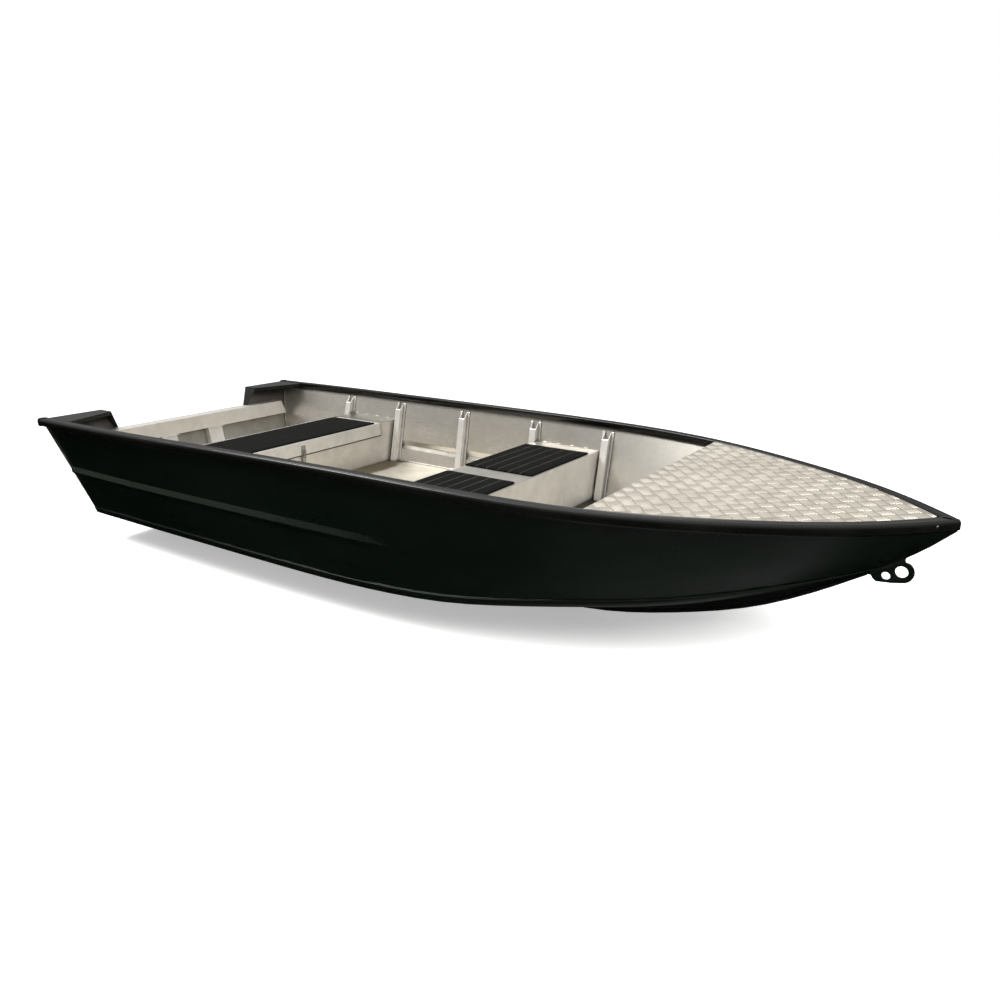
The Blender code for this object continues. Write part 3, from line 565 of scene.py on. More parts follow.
def makeRails():
    rings = []
    for i in range(railSize["rings"] + 1):
        station = railSize["end"] * (1 - (1 - i / railSize["rings"]) ** 1.2)
        rings.append([gunwalePoint(station, u, v) for u, v in railSection()])
    mesh = meshFrom("gunwale_rail", *tube(rings))
    edit = bmesh.new()
    edit.from_mesh(mesh)
    everything = edit.verts[:] + edit.edges[:] + edit.faces[:]
    cut = bmesh.ops.bisect_plane(edit, geom=everything, dist=1e-6, plane_co=(0, 0.00015, 0),
        plane_no=(0, 1, 0), clear_inner=True)
    bmesh.ops.holes_fill(edit, edges=[e for e in cut["geom_cut"] if isinstance(e, bmesh.types.BMEdge)])
    roundNose(edit)
    edit.to_mesh(mesh)
    edit.free()
    port, starboard = bothSides("gunwale_rail", sharpen(mesh, 50), "powderCoatedExtrusion")
    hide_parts("gunwale_port")
    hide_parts("gunwale_starboard")


makeRails()
print("gunwales made")

# Tread bars on the foredeck: five-bar blocks, each turned a quarter from its neighbours

treadSize = {"start": 2.745, "end": 3.637, "drop": 0.004, "edgeInset": 0.0458, "barLength": 0.040,
    "barWidth": 0.0056, "barHeight": 0.0016, "pitch": 0.0090, "alongStep": 0.064,
    "acrossStep": 0.0685, "firstAlong": 2.768, "firstAcross": -0.016, "sunk": 0.0003, "around": 10,
    "cutBacks": (0.85, 0.7, 0.55, 0.4, 0.25)}


def deckHeight(station):
    start, end = (hullLines["sheer"] + gunwaleRise(s) for s in (treadSize["start"], treadSize["end"]))
    share = (station - treadSize["start"]) / (treadSize["end"] - treadSize["start"])
    return start + (end - start) * share - treadSize["drop"]


def treadBar(station, y, angle):
    # A lens-shaped bar with rounded ends, low at its rim and crowned along its middle.
    length, width, height = (treadSize[k] for k in ("barLength", "barWidth", "barHeight"))
    along = Vector((cos(angle), sin(angle)))
    across = Vector((-along.y, along.x))
    rings = []
    for rise, shrink in ((-treadSize["sunk"], 1.0), (height * 0.55, 0.80), (height * 0.9, 0.48),
            (height, 0.15)):
        ring = []
        for k in range(treadSize["around"]):
            turn = 2 * pi * k / treadSize["around"]
            blunt = copysign(abs(cos(turn)) ** 0.75, cos(turn))
            u = blunt * (length / 2 - width * (1 - shrink))
            v = sin(turn) * width / 2 * shrink
            s, t = station + along.x * u + across.x * v, y + along.y * u + across.y * v
            ring.append(Vector((s - middle, t, deckHeight(s) + rise)))
        rings.append(ring)
    return rings


def makeTread():
    edge = {}
    parts = []
    rows = int((treadSize["end"] - treadSize["start"]) / treadSize["alongStep"]) * 2 + 4
    for half in range(-2, rows):
        station = treadSize["firstAlong"] + treadSize["alongStep"] * half / 2
        sign = 1 if half % 2 == 0 else -1
        for j in range(-12, 13):
            y = treadSize["firstAcross"] + treadSize["acrossStep"] * (j + (0 if sign > 0 else 0.5))
            for bar in range(-2, 3):
                shift = bar * treadSize["pitch"]
                x0 = station - sign * shift * sqrt(0.5)
                y0 = y + shift * sqrt(0.5)
                rings = treadBar(x0, y0, sign * pi / 4)
                inside = []
                for p in rings[0]:
                    s = p.x + middle
                    key = round(s, 3)
                    if key not in edge:
                        edge[key] = insetY(s, treadSize["edgeInset"]) if s < treadSize["end"] else 0
                    inside.append(treadSize["start"] - 0.0001 <= s <= treadSize["end"]
                        and abs(p.y) <= edge[key])
                if all(inside):
                    parts.append(tube(rings))
                elif any(inside):
                    kept = clipBar(rings)
                    if kept:
                        parts.append(kept)
    mesh = meshFrom("deck_tread_bars", *joined(parts), merge=False)
    newPiece("deck_tread_bars", sharpen(mesh, 60), "burnishedAluminium")
    print("tread bars:", len(parts))


def clipBar(rings):
    # A bar that crosses the deck's edge is pulled back along its own length until it is inside.
    centre = sum(rings[-1], Vector()) / len(rings[-1])
    s = centre.x + middle
    if not treadSize["start"] < s < treadSize["end"] or abs(centre.y) > insetY(s, treadSize["edgeInset"]):
        return None
    for share in treadSize["cutBacks"]:
        smaller = [[centre.xy.to_3d() + (p - centre).xy.to_3d() * share + Vector((0, 0, p.z))
                for p in ring] for ring in rings]
        if all(treadSize["start"] <= p.x + middle <= treadSize["end"]
                and abs(p.y) <= insetY(p.x + middle, treadSize["edgeInset"]) for p in smaller[0]):
            return tube(smaller)
    return None


makeTread()

# Foam pads, glued to the benches

padSize = {"corner": 0.006, "edge": 0.0022, "grooveWidth": 0.0052, "grooveDepth": 0.0035, "crown": 0.0006,
    "shoulder": 0.0008, "rows": 24, "columns": 28}


def makePad(name, node, body, grooves):
    low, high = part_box(node)
    lengths = high - low
    count = padSize["rows"]
    stations = sorted({0.0, lengths.x} | {lengths.x * i / count for i in range(count + 1)})
    centres = [lengths.x * (k + 1) / (grooves + 1) for k in range(grooves)]
    half, shoulder = padSize["grooveWidth"] / 2, padSize["shoulder"]
    for c in centres:
        stations = [s for s in stations if abs(s - c) > half + 0.001]
        stations += [c - half - shoulder, c - half, c - half * 0.5, c, c + half * 0.5, c + half,
            c + half + shoulder]
    stations = sorted(stations)
    columns = padSize["columns"]
    edit = bmesh.new()
    top, bottom = [], []
    for s in stations:
        topRow, bottomRow = [], []
        for j in range(columns + 1):
            t = lengths.y * j / columns
            nearX, nearY = min(s, lengths.x - s), min(t, lengths.y - t)
            x, y = low.x + s, low.y + t
            corner = padSize["corner"]
            if nearX < corner and nearY < corner:
                u, v = corner - nearX, corner - nearY
                reach = hypot(u, v)
                if reach > corner:
                    x += copysign(1, lengths.x / 2 - s) * u * (1 - corner / reach)
                    y += copysign(1, lengths.y / 2 - t) * v * (1 - corner / reach)
            sag = 0.0
            for c in centres:
                d = abs(s - c) / half
                if d < 1:
                    sag = padSize["grooveDepth"] * (1 - d**4)
            swell = sin(pi * s / lengths.x) * sin(pi * t / lengths.y)
            crown = padSize["crown"] * (swell - 1)
            rim = padSize["edge"] if min(nearX, nearY) < 1e-9 else 0.0
            topRow.append(edit.verts.new((x, y, high.z + crown - sag - rim)))
            bottomRow.append(edit.verts.new((x, y, low.z)))
        top.append(topRow)
        bottom.append(bottomRow)
    rows = len(stations)
    for i in range(rows - 1):
        for j in range(columns):
            edit.faces.new((top[i][j], top[i + 1][j], top[i + 1][j + 1], top[i][j + 1]))
            edit.faces.new((bottom[i][j], bottom[i][j + 1], bottom[i + 1][j + 1], bottom[i + 1][j]))
    ring = ([(i, 0) for i in range(rows)] + [(rows - 1, j) for j in range(1, columns + 1)]
        + [(i, columns) for i in range(rows - 2, -1, -1)] + [(0, j) for j in range(columns - 1, 0, -1)])
    for (a, b), (c, d) in zip(ring, ring[1:] + ring[:1]):
        edit.faces.new((bottom[a][b], bottom[c][d], top[c][d], top[a][b]))
    bmesh.ops.recalc_face_normals(edit, faces=edit.faces)
    mesh = bpy.data.meshes.new(name)
    edit.to_mesh(mesh)
    edit.free()
    mesh.polygons.foreach_set("use_smooth", [True] * len(mesh.polygons))
    pad = newPiece(name, sharpen(mesh, 55), "sandedEvaFoam", body)
    mesh.materials.append(finishes["routedEvaFoam"])
    for polygon in mesh.polygons:
        spot = polygon.center.x - low.x
        if polygon.normal.z > 0.3 and any(abs(spot - c) < half * 0.8 for c in centres):
            polygon.material_index = 1
    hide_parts(node)


makePad("stern_foam_pad", "stern_pad", "lid", 0)
makePad("middle_foam_pad_port", "middle_pad_port", "boat", 5)
makePad("middle_foam_pad_starboard", "middle_pad_starboard", "boat", 5)
print("pads made")

# Hull plates: the solids' own shapes in one smooth skin, black outside and bare inside

skinSize = {"merge": 0.00002, "swageRound": 0.0035, "edge": 0.0009}


def skinFrom(nodeName):
    data = nodes[nodeName].data
    mesh = meshFrom(nodeName + "_skin", [v.co for v in data.vertices],
        [p.vertices[:] for p in data.polygons])
    edit = bmesh.new()
    edit.from_mesh(mesh)
    bmesh.ops.remove_doubles(edit, verts=edit.verts, dist=skinSize["merge"])
    return mesh, edit


def roundEdges(edit, chosen, width, segments):
    bmesh.ops.bevel(edit, geom=chosen, offset=width, offset_type="OFFSET", segments=segments, profile=0.5,
        affect="EDGES", clamp_overlap=True)


def finishSkin(edit, mesh, nodeName, name, finish, slotName, degrees, *others):
    edit.to_mesh(mesh)
    edit.free()
    mesh.polygons.foreach_set("use_smooth", [True] * len(mesh.polygons))
    piece = newPiece(name, sharpen(mesh, degrees), finish)
    for index, (other, chosen) in enumerate(others):
        mesh.materials.append(finishes[other])
        for polygon in mesh.polygons:
            if chosen(polygon):
                polygon.material_index = index + 1
    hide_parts(nodeName)


def makeHullSkins():
    for side, sign in (("port", 1), ("starboard", -1)):
        mesh, edit = skinFrom("side_plate_" + side)
        folds = [e for e in edit.edges if e.is_manifold and all(abs(f.normal.y) > 0.5 for f in e.link_faces)
            and radians(12) < e.calc_face_angle(0) < radians(60)
            and e.link_faces[0].normal.dot(e.link_faces[1].normal) > 0]
        roundEdges(edit, folds, skinSize["swageRound"], 3)
        finishSkin(edit, mesh, "side_plate_" + side, "hull_side_" + side, "powderCoatedAluminium",
            "black_paint", 40, ("weldedHullAluminium", lambda p: p.normal.y * sign < -0.25),
            ("darkerLedgeAluminium", lambda p: p.normal.y * sign < -0.25 and p.normal.z > 0.35),
            # Outside faces that look upward take the painted highlight.
            ("powderCoatPaintedHighlight", lambda p: p.normal.y * sign > 0 and 0.05 < p.normal.z < 0.95))
        mesh, edit = skinFrom("bottom_plate_" + side)
        finishSkin(edit, mesh, "bottom_plate_" + side, "hull_bottom_" + side, "powderCoatedAluminium",
            "black_paint", 40, ("weldedHullAluminium", lambda p: p.normal.z > 0.4))
        mesh, edit = skinFrom("chine_strip_" + side)
        roundEdges(edit, [e for e in edit.edges if e.calc_face_angle(0) > radians(40)], 0.0012, 2)
        finishSkin(edit, mesh, "chine_strip_" + side, "chine_guard_" + side, "powderCoatedAluminium",
            "black_paint", 50)
    # The transom's inner face takes bare sheet with painted shade.
    for node, name, bare in (("keel_strip", "keel_guard", []), ("tow_eye", "tow_eye_plate", []),
            ("transom_plate", "transom_skin", [("transomAluminiumPaintedShade", lambda p: p.normal.x > 0.5)])):
        mesh, edit = skinFrom(node)
        bmesh.ops.dissolve_limit(edit, angle_limit=radians(1.0), verts=edit.verts, edges=edit.edges)
        roundEdges(edit, [e for e in edit.edges if e.calc_face_angle(0) > radians(40)], skinSize["edge"], 2)
        finishSkin(edit, mesh, node, name, "powderCoatedAluminium", "black_paint", 35, *bare)


makeHullSkins()
print("hull skins made")

# Weld beads

weldSize = {"step": 0.0025, "ripple": 0.0045, "rippleDepth": 0.22, "sides": 7, "stitchStep": 0.004,
    "seam": 0.0032, "stitch": 0.0036, "ribShare": 0.72, "ribEnd": 0.0034, "corner": 0.0036,
    "beam": 0.0028, "brace": 0.0026, "braceFoot": 0.0024, "chine": 0.0026, "eye": 0.0042,
    "heelRadius": 0.0054, "stem": 0.0024, "stemStart": 3.652, "stemLength": 0.046,
    "heel": [(1.628, 0.3692), (1.633, 0.3722), (1.6375, 0.3750), (1.6435, 0.3802),
        (1.6495, 0.3855), (1.6555, 0.3900)]}


def smoothPath(points, step):
    # The same path with a point at every step of its length.
    lengths = [0.0]
    for a, b in zip(points, points[1:]):
        lengths.append(lengths[-1] + (b - a).length)
    count = max(int(lengths[-1] / step), 3)
    made, i = [], 0
    for k in range(count + 1):
        at = lengths[-1] * k / count
        while i < len(points) - 2 and lengths[i + 1] < at:
            i += 1
        share = (at - lengths[i]) / max(lengths[i + 1] - lengths[i], 1e-9)
        made.append(points[i].lerp(points[i + 1], min(max(share, 0), 1)))
    return made


def weldBead(points, radius, draw):
    # A rippled bead along a seam, with tapered ends; draw is a seeded random source.
    path = smoothPath([Vector(p) for p in points], weldSize["step"])
    rings, wander = [], 0.0
    for i, point in enumerate(path):
        ahead = (path[min(i + 1, len(path) - 1)] - path[max(i - 1, 0)]).normalized()
        side, up = squareAxes(ahead)
        travel = i * weldSize["step"] / weldSize["ripple"]
        wander = 0.85 * wander + draw.uniform(-0.06, 0.06)
        end = min(i, len(path) - 1 - i)
        grow = (0.45, 0.8, 0.95)[end] if end < 3 else 1.0
        size = radius * grow * (1 + wander + weldSize["rippleDepth"] * (abs(sin(pi * travel)) - 0.5))
        rings.append(ringAround(point, side, up, size, weldSize["sides"]))
    return tube(rings)


def stitches(points, length, gapLength, radius, draw):
    # Short beads with gaps between them along one path.
    step = weldSize["stitchStep"]
    path = smoothPath([Vector(p) for p in points], step)
    made, on, off = [], max(int(length / step), 3), max(int(gapLength / step), 1)
    for start in range(0, len(path) - on, on + off):
        made.append(weldBead(path[start:start + on + 1], radius, draw))
    return made


def weldPiece(name, beads, finish):
    mesh = meshFrom(name, *joined(beads))
    return newPiece(name, sharpen(mesh, 80), finish)


def mirrored(points):
    return [Vector((p.x, -p.y, p.z)) for p in points]


def bothBeads(path, radius, draw):
    return [weldBead(path, radius, draw), weldBead(mirrored(path), radius, draw)]


def bothStitches(path, *sizes):
    return stitches(path, *sizes) + stitches(mirrored(path), *sizes)


def sideAt(x, z):
    # Where the port side plate's inner face is, by a ray from the middle of the boat.
    hit = skinProbe.ray_cast(Vector((x, 0.0, z)), Vector((0, 1, 0)))
    return hit[1].y if hit[0] else None


skinProbe = bpy.data.objects["hull_side_port"]
bpy.context.view_layer.update()
seams = {"floor": 0.2668, "benchTop": 0.479, "sternBench": (0.600, 0.924), "middleBench": (1.846, 2.186),
    "ribs": [0.576, 0.955, 1.392, 1.827, 2.221], "ribHalf": 0.030, "ribTop": 0.570, "rake": 0.27,
    "sheer": 0.606, "clear": 0.004, "deckStart": 2.74, "beam": (0.432, 0.508), "beamEnd": (0.6508, 0.6208),
    "beamFront": 0.0605, "braces": (0.0978, 0.1862)}


def insideSeam(stations, heights, off):
    made = []
    for station, z in zip(stations, heights):
        y = sideAt(station - middle, z)
        if y is not None:
            made.append(Vector((station - middle, y - off, z)))
    return made


def transomX(z, off):
    # The raked transom's inner face at this height, and this far forward of it.
    return seams["rake"] * (seams["sheer"] - z) + off - middle


def between(low, high, count):
    return [low + (high - low) * k / count for k in range(count + 1)]


def makeWelds():
    draw = random.Random(11)
    floorZ, top = seams["floor"] + 0.0012, seams["benchTop"]
    benches, ribHalf, clear = (seams["sternBench"], seams["middleBench"]), seams["ribHalf"], seams["clear"]
    beads = []
    blocked = [(x - ribHalf - clear, x + ribHalf + clear) for x in seams["ribs"]]
    blocked += [(a - clear, b + clear) for a, b in benches]
    runs, run = [], []
    for i in range(0, 268):
        x = 0.105 + i * 0.010
        if any(a < x < b for a, b in blocked) or x > seams["deckStart"]:
            if len(run) > 3:
                runs.append(run)
            run = []
        else:
            run.append(x)
    for run in runs:
        path = insideSeam(run, [floorZ] * len(run), 0.001)
        if len(path) > 3:
            beads += bothBeads(path, weldSize["seam"], draw)
    # Ribs: short stitches down both flanges. Benches: where their tops and fronts meet the sides.
    for x in seams["ribs"]:
        for side in (-1, 1):
            station = x + side * (ribHalf + 0.0008)
            inBench = any(a < station < b for a, b in benches)
            low = (top + 0.004) if inBench else floorZ + 0.01
            path = insideSeam([station] * 31, between(low, seams["ribTop"], 30), 0.0008)
            beads += bothStitches(path, 0.022, 0.052, weldSize["stitch"] * weldSize["ribShare"], draw)
            ends = [x + side * (ribHalf - 0.016 + 0.002 * k) for k in range(9)]
            path = insideSeam(ends, [seams["ribTop"] + 0.001] * 9, 0.0012)
            if len(path) > 3:
                beads += bothBeads(path, weldSize["ribEnd"], draw)
    for back, front in benches:
        across = [back + 0.012 + (front - back - 0.02) * k / 20 for k in range(21)]
        across = [x for x in across if not any(a < x < b for a, b in blocked[:len(seams["ribs"])])]
        path = insideSeam(across, [top + 0.0008] * len(across), 0.0012)
        beads += bothStitches(path, 0.03, 0.05, weldSize["seam"], draw)
        for low, high in ((floorZ + 0.006, floorZ + 0.03), (floorZ + 0.07, floorZ + 0.09),
                (top - 0.035, top - 0.004)):
            path = insideSeam([front + 0.001] * 8, between(low, high, 7), 0.0012)
            if len(path) > 3:
                beads += bothBeads(path, weldSize["stitch"], draw)
    weldPiece("inside_welds", beads, "weldedAluminium")

    # Transom to sides, the motor beam's ends and the braces.
    path = [Vector((transomX(z, 0.0025), (sideAt(transomX(z, 0.004), z) or 0.69) - 0.0015, z))
        for z in [0.28 + 0.28 * k / 40 for k in range(41)]]
    beads = bothBeads(path, weldSize["corner"], draw)
    (beamLow, beamHigh), (y0, y1) = seams["beam"], seams["beamEnd"]
    path = [Vector((transomX(z, 0.0014), y0 + (y1 - y0) * k / 10 + 0.001, z))
        for k, z in enumerate(between(beamLow, beamHigh, 10))]
    beads += bothBeads(path, weldSize["beam"], draw)
    for y in seams["braces"]:
        path = [Vector((transomX(z, 0.0012), y, z)) for z in
            [0.275 + (beamLow - 0.280) * k / 12 for k in range(13)]]
        beads += bothStitches(path, 0.024, 0.03, weldSize["brace"], draw)
    inner, outer = seams["braces"]
    path = [Vector((transomX(beamLow, seams["beamFront"]), y, beamLow)) for y in between(outer, inner, 6)]
    beads += bothBeads(path, weldSize["braceFoot"], draw)
    weldPiece("transom_welds", beads, "weldedAluminium")


def eyeSeam():
    # Where the tow eye's plate meets the stem above it, found by rays up and down from between them.
    bpy.context.view_layer.update()
    low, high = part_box("tow_eye")
    hull = [bpy.data.objects[n] for n in ("hull_side_port", "hull_bottom_port", "keel_guard",
            "chine_guard_port")]
    eye, made = bpy.data.objects["tow_eye_plate"], []
    for k in range(60):
        x = low.x - 0.004 + (high.x - low.x) * k / 59
        above = [hit[1].z for hit in (obj.ray_cast(Vector((x, 0.0021, 0.25)), Vector((0, 0,
                1))) for obj in hull) if hit[0]]
        below = eye.ray_cast(Vector((max(x, low.x + 0.001), 0.0005, 1.0)), Vector((0, 0, -1)))
        if above and below[0] and abs(min(above) - below[1].z) < 0.010:
            made.append((x, min(min(above), below[1].z + 0.002)))
    return made


def makePaintedWelds():
    # The outer seams lie under the coat: along the chine guard's top lip, the stem and the tow eye.
    draw = random.Random(23)
    data = nodes["chine_strip_port"].data
    rim = {}
    for vertex in data.vertices:
        key = round(vertex.co.x / 0.02)
        best = rim.get(key)
        if best is None or vertex.co.z - 0.2 * vertex.co.y > best.z - 0.2 * best.y:
            rim[key] = vertex.co.copy()
    line = [rim[key] for key in sorted(rim)]
    kept = [line[0]]
    for point in line[1:]:
        if point.x - kept[-1].x > 0.03:
            kept.append(point)
    path = [p + Vector((0, -0.0016, 0.0006)) for p in kept[1:-1]]
    beads = bothBeads(path, weldSize["chine"], draw)
    for sign in (1, -1):
        seat = [Vector((x, sign * 0.0046, z)) for x, z in eyeSeam()]
        beads.append(weldBead(seat, weldSize["eye"], draw))
    heel = [Vector((x, 0.0, z)) for x, z in weldSize["heel"]]
    beads.append(weldBead(heel, weldSize["heelRadius"], draw))
    join = [Vector((x - middle, 0.0, hullLines["sheer"] + gunwaleRise(x) - 0.0006)) for x in
        [weldSize["stemStart"] + weldSize["stemLength"] * k / 10 for k in range(11)]]
    beads.append(weldBead(join, weldSize["stem"], draw))
    weldPiece("painted_welds", beads, "powderCoatedWeld")


makeWelds()
makePaintedWelds()
print("welds made")

# Small fittings

def turned(centre, normal, profile, sides=20):
    # A round piece from (radius, height) pairs, standing on its centre along its normal.
    normal = Vector(normal).normalized()
    side, up = squareAxes(normal)
    return tube([ringAround(Vector(centre) + normal * h, side, up, max(r, 1e-5), sides) for r, h in profile])


def dome(centre, normal, radius, height):
    return turned(centre, normal, [(radius, -0.0006), (radius, 0.0)] + [
            (radius * cos(t), height * sin(t)) for t in [radians(a) for a in (15, 35, 55, 75, 89)]])


def wire(points, radius, sides=8, loop=False):
    # A round wire through points; a loop joins its end to its start.
    count = len(points)
    rings = []
    for i, point in enumerate(points):
        before = points[(i - 1) % count] if loop else points[max(i - 1, 0)]
        after = points[(i + 1) % count] if loop else points[min(i + 1, count - 1)]
        ahead = (after - before).normalized()
        side, up = squareAxes(ahead, (1, 0, 0), (0, 1, 0))
        rings.append(ringAround(point, side, up, radius, sides))
    if loop:
        rings.append(rings[0])
    return tube(rings, not loop)


def crossBar(x, z, low, high, inset, radius, sides=8):
    # A round bar that runs across the boat between two corners of a box.
    return wire([Vector((x, y, z)) for y in (low.y + inset, 0, high.y - inset)], radius, sides)


def platePiece(low, high, rounding=0.0006):
    # A thin plate with eased edges, as (points, faces).
    edit = bmesh.new()
    bmesh.ops.create_cube(edit, size=1.0)
    low, high = Vector(low), Vector(high)
    for vertex in edit.verts:
        vertex.co = Vector([low[k] + (vertex.co[k] + 0.5) * (high - low)[k] for k in range(3)])
    roundEdges(edit, edit.edges[:], rounding, 2)
    edit.verts.index_update()
    made = [v.co.copy() for v in edit.verts], [tuple(v.index for v in f.verts) for f in edit.faces]
    edit.free()
    return made


def smallPiece(name, parts, finish, body="boat", degrees=35):
    return newPiece(name, sharpen(meshFrom(name, *joined(parts)), degrees), finish, body)


latchSize = {"plate": 0.0016, "hook": 0.0026, "barrel": 0.0032, "lip": 0.0022, "rivet": (0.0034, 0.0018),
    "rivetAcross": 0.0068, "loopFoot": 0.0062, "loopTop": 0.0105, "wire": 0.0017,
    "loopHalf": 0.0042, "loopLow": 0.392, "loopHigh": 0.4365, "apart": 0.0062, "points": 28}


def makeLatch():
    # A draw latch: a hook plate on the lid, and a base with a lever and two wire loops on the bench.
    low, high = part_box("latch_catch")
    face, plate, across = low.x, latchSize["plate"], latchSize["rivetAcross"]
    parts = [platePiece((face, low.y, low.z + 0.004), (face + plate, high.y, high.z)),
        crossBar(face + 0.0032, low.z + 0.0075, low, high, 0.001, latchSize["hook"], 10)]
    parts += [dome((face + plate, y, high.z - 0.008), (1, 0, 0), *latchSize["rivet"]) for y in (-across,
            across)]
    catch = smallPiece("latch_hook_plate", parts, "pressedStainlessSteel", "lid")
    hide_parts("latch_catch")
    low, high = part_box("latch_body")
    face = low.x
    parts = [platePiece((face, low.y, low.z), (face + plate, high.y, high.z)),
        crossBar(face + 0.0055, high.z - 0.008, low, high, 0.001, latchSize["barrel"], 12),
        platePiece((face + 0.0058, low.y + 0.004, low.z + 0.001),
            (face + 0.0082, high.y - 0.004, high.z - 0.006)),
        crossBar(face + 0.0075, low.z + 0.003, low, high, 0.005, latchSize["lip"], 10)]
    half, lowZ, highZ = latchSize["loopHalf"], latchSize["loopLow"], latchSize["loopHigh"]
    for sign in (-1, 1):
        loop = []
        for k in range(latchSize["points"]):
            turn = 2 * pi * k / latchSize["points"]
            blunt = copysign(abs(sin(turn)) ** 0.45, sin(turn))
            z = (lowZ + highZ) / 2 + blunt * (highZ - lowZ) / 2
            y = sign * latchSize["apart"] + cos(turn) * half
            share = (z - lowZ) / (highZ - lowZ)
            out = latchSize["loopFoot"] + (latchSize["loopTop"] - latchSize["loopFoot"]) * share
            loop.append(Vector((face + out, y, z)))
        parts.append(wire(loop, latchSize["wire"], 8, True))
    body = smallPiece("latch_lever_and_loops", parts, "pressedStainlessSteel")
    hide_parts("latch_body")


hingeSize = {"knuckle": 0.025, "gap": 0.0008, "leaf": 0.0009, "pin": 0.0011, "reach": 0.0120,
    "lidReach": 0.0085, "split": 0.0006, "ease": 0.0003}


def makeHinge():
    # A piano hinge: one leaf and every other knuckle on the bench, the rest on the lid.
    low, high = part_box("lid_hinge")
    centre = (low + high) / 2
    radius = (high.z - low.z) / 2
    fixed, moving = [], []
    count = int((high.y - low.y) / hingeSize["knuckle"])
    for k in range(count):
        a = low.y + (high.y - low.y) * k / count + hingeSize["gap"] / 2
        b = low.y + (high.y - low.y) * (k + 1) / count - hingeSize["gap"] / 2
        knuckle = turned((centre.x, a, centre.z), (0, 1, 0),
            [(radius * 0.8, 0), (radius, 0.0005), (radius, b - a - 0.0005), (radius * 0.8, b - a)], 14)
        (fixed if k % 2 == 0 else moving).append(knuckle)
    under = low.z - 0.0001
    for leaf, near, far in ((fixed, -hingeSize["reach"], -hingeSize["split"]),
            (moving, hingeSize["split"], hingeSize["lidReach"])):
        leaf.append(platePiece((centre.x + near, low.y, under),
                (centre.x + far, high.y, under + hingeSize["leaf"]), hingeSize["ease"]))
    fixed.append(crossBar(centre.x, centre.z, low, high, 0.0003, hingeSize["pin"]))
    hinge = smallPiece("piano_hinge_fixed_leaf", fixed, "pressedStainlessSteel")
    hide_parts("lid_hinge")
    smallPiece("piano_hinge_lid_leaf", moving, "pressedStainlessSteel", "lid")


capSize = {"rounding": 0.009, "flat": 0.004, "sides": 28, "levels": (0, 25, 50, 72, 90), "screwAngle": 38,
    "screw": (0.0042, 0.0022)}


def makeCaps():
    # Moulded ends on the gunwales, rounded top and bottom, each held by a domed screw.
    low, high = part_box("stern_cap_port")
    radius = (high.y - low.y) / 2
    centreY = (low.y + high.y) / 2
    flat, r = capSize["flat"], capSize["rounding"]
    levels = []
    for a in (radians(turn) for turn in capSize["levels"]):
        levels.append((low.z + r * (1 - cos(a)), 1 - (1 - sin(a)) * r / radius))
    levels += [(high.z + low.z - z, size) for z, size in levels[::-1]]
    rings = []
    for z, size in levels:
        ring = [Vector((high.x, centreY + radius * size, z)), Vector((high.x - flat,
                centreY + radius * size, z))]
        for k in range(capSize["sides"] + 1):
            turn = pi * k / capSize["sides"]
            ring.append(Vector((high.x - flat - (radius - flat) * size * sin(turn),
                    centreY + radius * size * cos(turn), z)))
        ring.append(Vector((high.x, centreY - radius * size, z)))
        rings.append(ring)
    mesh = meshFrom("stern_end_cap", *tube(rings))
    port, starboard = bothSides("stern_end_cap", sharpen(mesh, 50), "mouldedPolyethylene")
    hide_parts("stern_cap_port")
    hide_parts("stern_cap_starboard")
    turn = radians(capSize["screwAngle"])
    outward = Vector((-sin(turn), cos(turn), 0))
    at = (Vector((high.x - flat, centreY, (low.z + high.z) / 2))
        + Vector((-(radius - flat) * sin(turn), radius * cos(turn), 0)))
    points, faces = dome(at, outward, *capSize["screw"])
    screws = [(points, faces), (mirrored(points), [f[::-1] for f in faces])]
    smallPiece("cap_screws", screws, "drawnAluminiumRivet")


rivetSize = {"radius": 0.0042, "height": 0.0020, "bow": (3.650, 0.015)}


def makeRivets():
    station, drop = rivetSize["bow"]
    at = gunwalePoint(station, 0.0, drop)
    along = gunwalePoint(station + 0.005, 0.0, drop) - at
    outward = Vector((-along.y, along.x, 0)).normalized()
    parts = []
    for sign in (1, -1):
        parts.append(dome((at.x, sign * at.y, at.z), (outward.x, sign * outward.y, 0), rivetSize["radius"],
                rivetSize["height"]))
    smallPiece("bow_rivets", parts, "drawnAluminiumRivet")


lipShadowSize = {"height": 0.0042, "gap": 0.0004, "round": 0.0006}


def makeLipShadowStrip():
    # A black strip just outside the lid's lip: painted shadow, standing in for the shade under the lip.
    low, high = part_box("bench_lid")
    back, front = seams["sternBench"][1] - middle, high.x - 0.0004
    under, gap, size = low.z - lipShadowSize["gap"], lipShadowSize["gap"], lipShadowSize["height"]
    parts = [platePiece((back - 0.0002, low.y, under - size), (front, high.y, under), lipShadowSize["round"])]
    for sign in (-1, 1):
        a, b = sorted((sign * (high.y + gap), sign * (high.y + gap + size * 0.7)))
        parts.append(platePiece((back - 0.0002, a, under - size), (front, b, high.z - 0.006),
                lipShadowSize["round"]))
    smallPiece("lid_rubber_seal", parts, "mouldedPolyethylene")


makeLatch()
makeHinge()
makeLipShadowStrip()
makeCaps()
makeRivets()
print("fittings made")

# Floor, light and camera

stageSize = {"floorRadius": 150.0, "floorColour": "#f4f4f2", "floorGlow": 0.42}
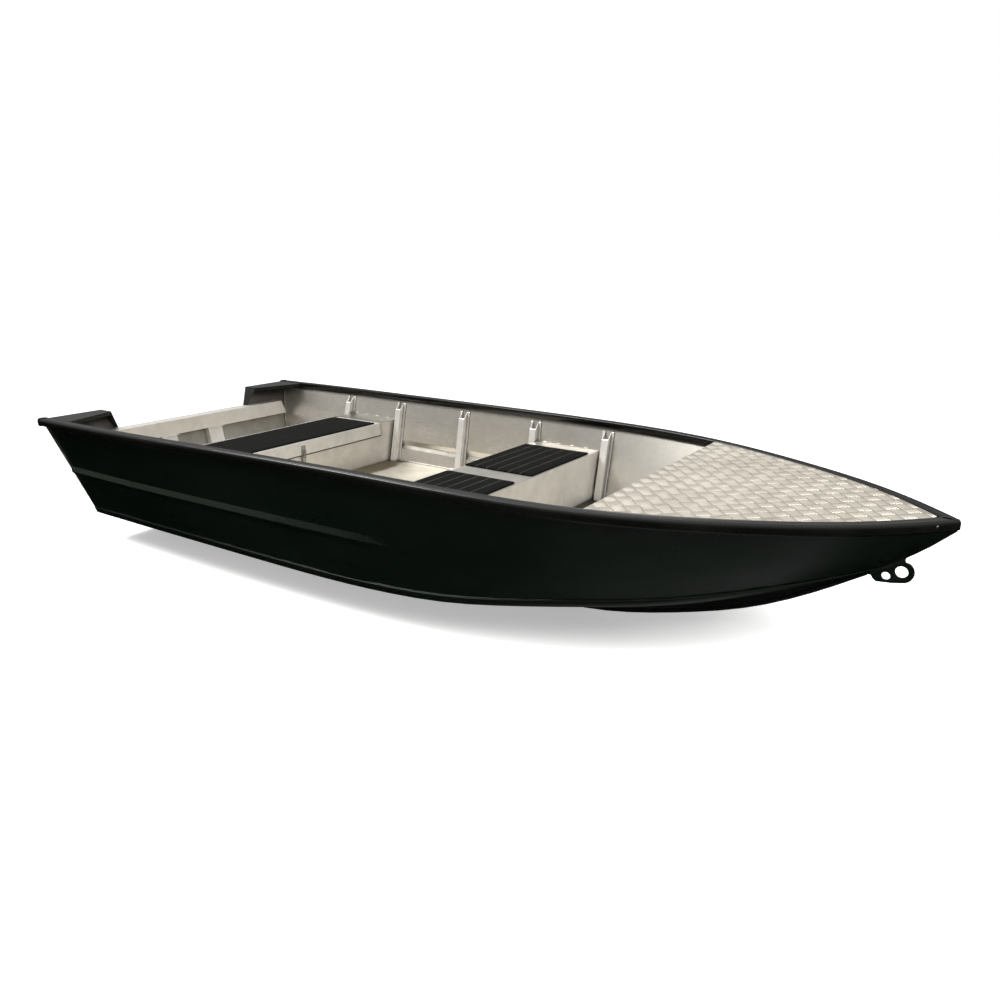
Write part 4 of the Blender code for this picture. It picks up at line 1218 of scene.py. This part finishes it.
# Brightness of the studio by height, from straight down (-1) to straight up (1), as the boat sees it.
studioLight = [(-1.0, 0.48), (-0.96, 0.46), (-0.93, 0.12), (-0.88, 0.0), (-0.05, 0.0), (0.0, 0.20),
    (0.25, 0.30), (0.6, 0.70), (0.8, 1.0), (1.0, 1.25)]
cameraPlace = {"at": (2.0384, -2.6844, 1.3405), "aim": (-0.5371, 0.7940, -0.2847), "roll": 0.04,
    "lens": 29.88, "sensor": 36, "farthest": 400}
lamps = [
    {"name": "overhead", "at": (-0.5, 0.2, 4.2), "aim": (0, 0, 0.4), "size": (5.0, 1.5), "power": 66},
    {"name": "front", "at": (4.6, -2.2, 3.6), "aim": (-0.3, 0, 0.4), "size": (2.4, 2.0), "power": 340,
        "mirrored": False},
    {"name": "stern", "at": (-3.6, -2.6, 4.6), "aim": (0.2, -0.3, 0.5), "size": (3.2, 1.6), "power": 260},
]


def makeStage():
    edit = bmesh.new()
    bmesh.ops.create_circle(edit, cap_ends=True, segments=128, radius=stageSize["floorRadius"])
    mesh = bpy.data.meshes.new("studio_floor")
    edit.to_mesh(mesh)
    edit.free()
    floor = bpy.data.objects.new("studio_floor", mesh)
    bpy.context.scene.collection.objects.link(floor)
    material, tree = newMaterial("paleStudioFloor")
    finishMaterial(material, {
            "Base Color": hexColour(stageSize["floorColour"]), "Roughness": 0.9, "Specular IOR Level": 0.0,
            "Emission Color": (1, 1, 1, 1), "Emission Strength": stageSize["floorGlow"]})
    mesh.materials.append(material)
    floor.location.z = -0.0005
    floor.visible_glossy = False

    world = bpy.data.worlds.new("studio")
    bpy.context.scene.world = world
    world.use_nodes = True
    tree = world.node_tree
    tree.nodes.clear()
    way = addNode(tree, "TexCoord").outputs["Generated"]
    height = addNode(tree, "SeparateXYZ", {"Vector": way}).outputs["Z"]
    share = addNode(tree, "MapRange", {"Value": height, "From Min": -1.0, "From Max": 1.0})
    glow = stops(addNode(tree, "ValToRGB", {"Fac": share.outputs["Result"]}),
        *[((z + 1) / 2, value) for z, value in studioLight])
    seen = addNode(tree, "LightPath").outputs["Is Camera Ray"]
    light = addNode(tree, "Mix", {"Factor": seen, "A": glow, "B": (1.0, 1.0, 1.0, 1.0)}, data_type="RGBA")
    sky = addNode(tree, "Background", {"Color": light.outputs["Result"]})
    addNode(tree, "OutputWorld", {"Surface": sky.outputs["Background"]})


def makeLamps():
    for lamp in lamps:
        data = bpy.data.lights.new(lamp["name"], "AREA")
        data.shape = "RECTANGLE"
        data.size, data.size_y = lamp["size"]
        data.energy = lamp["power"]
        obj = bpy.data.objects.new("lamp_" + lamp["name"], data)
        obj.location = lamp["at"]
        obj.visible_glossy = lamp.get("mirrored", True)
        obj.rotation_euler = (Vector(lamp["aim"]) - Vector(lamp["at"])).to_track_quat("-Z", "Y").to_euler()
        bpy.context.scene.collection.objects.link(obj)


def makeCamera():
    data = bpy.data.cameras.new("camera")
    data.lens, data.sensor_width = cameraPlace["lens"], cameraPlace["sensor"]
    data.clip_end = cameraPlace["farthest"]
    obj = bpy.data.objects.new("camera", data)
    obj.location = cameraPlace["at"]
    turn = Vector(cameraPlace["aim"]).to_track_quat("-Z", "Y").to_matrix()
    obj.rotation_euler = (turn @ Matrix.Rotation(radians(cameraPlace["roll"]), 3, "Z")).to_euler()
    bpy.context.scene.collection.objects.link(obj)
    bpy.context.scene.camera = obj


makeStage()
makeLamps()
makeCamera()
bpy.context.scene.view_settings.view_transform = "Standard"
print("stage, lamps and camera made")
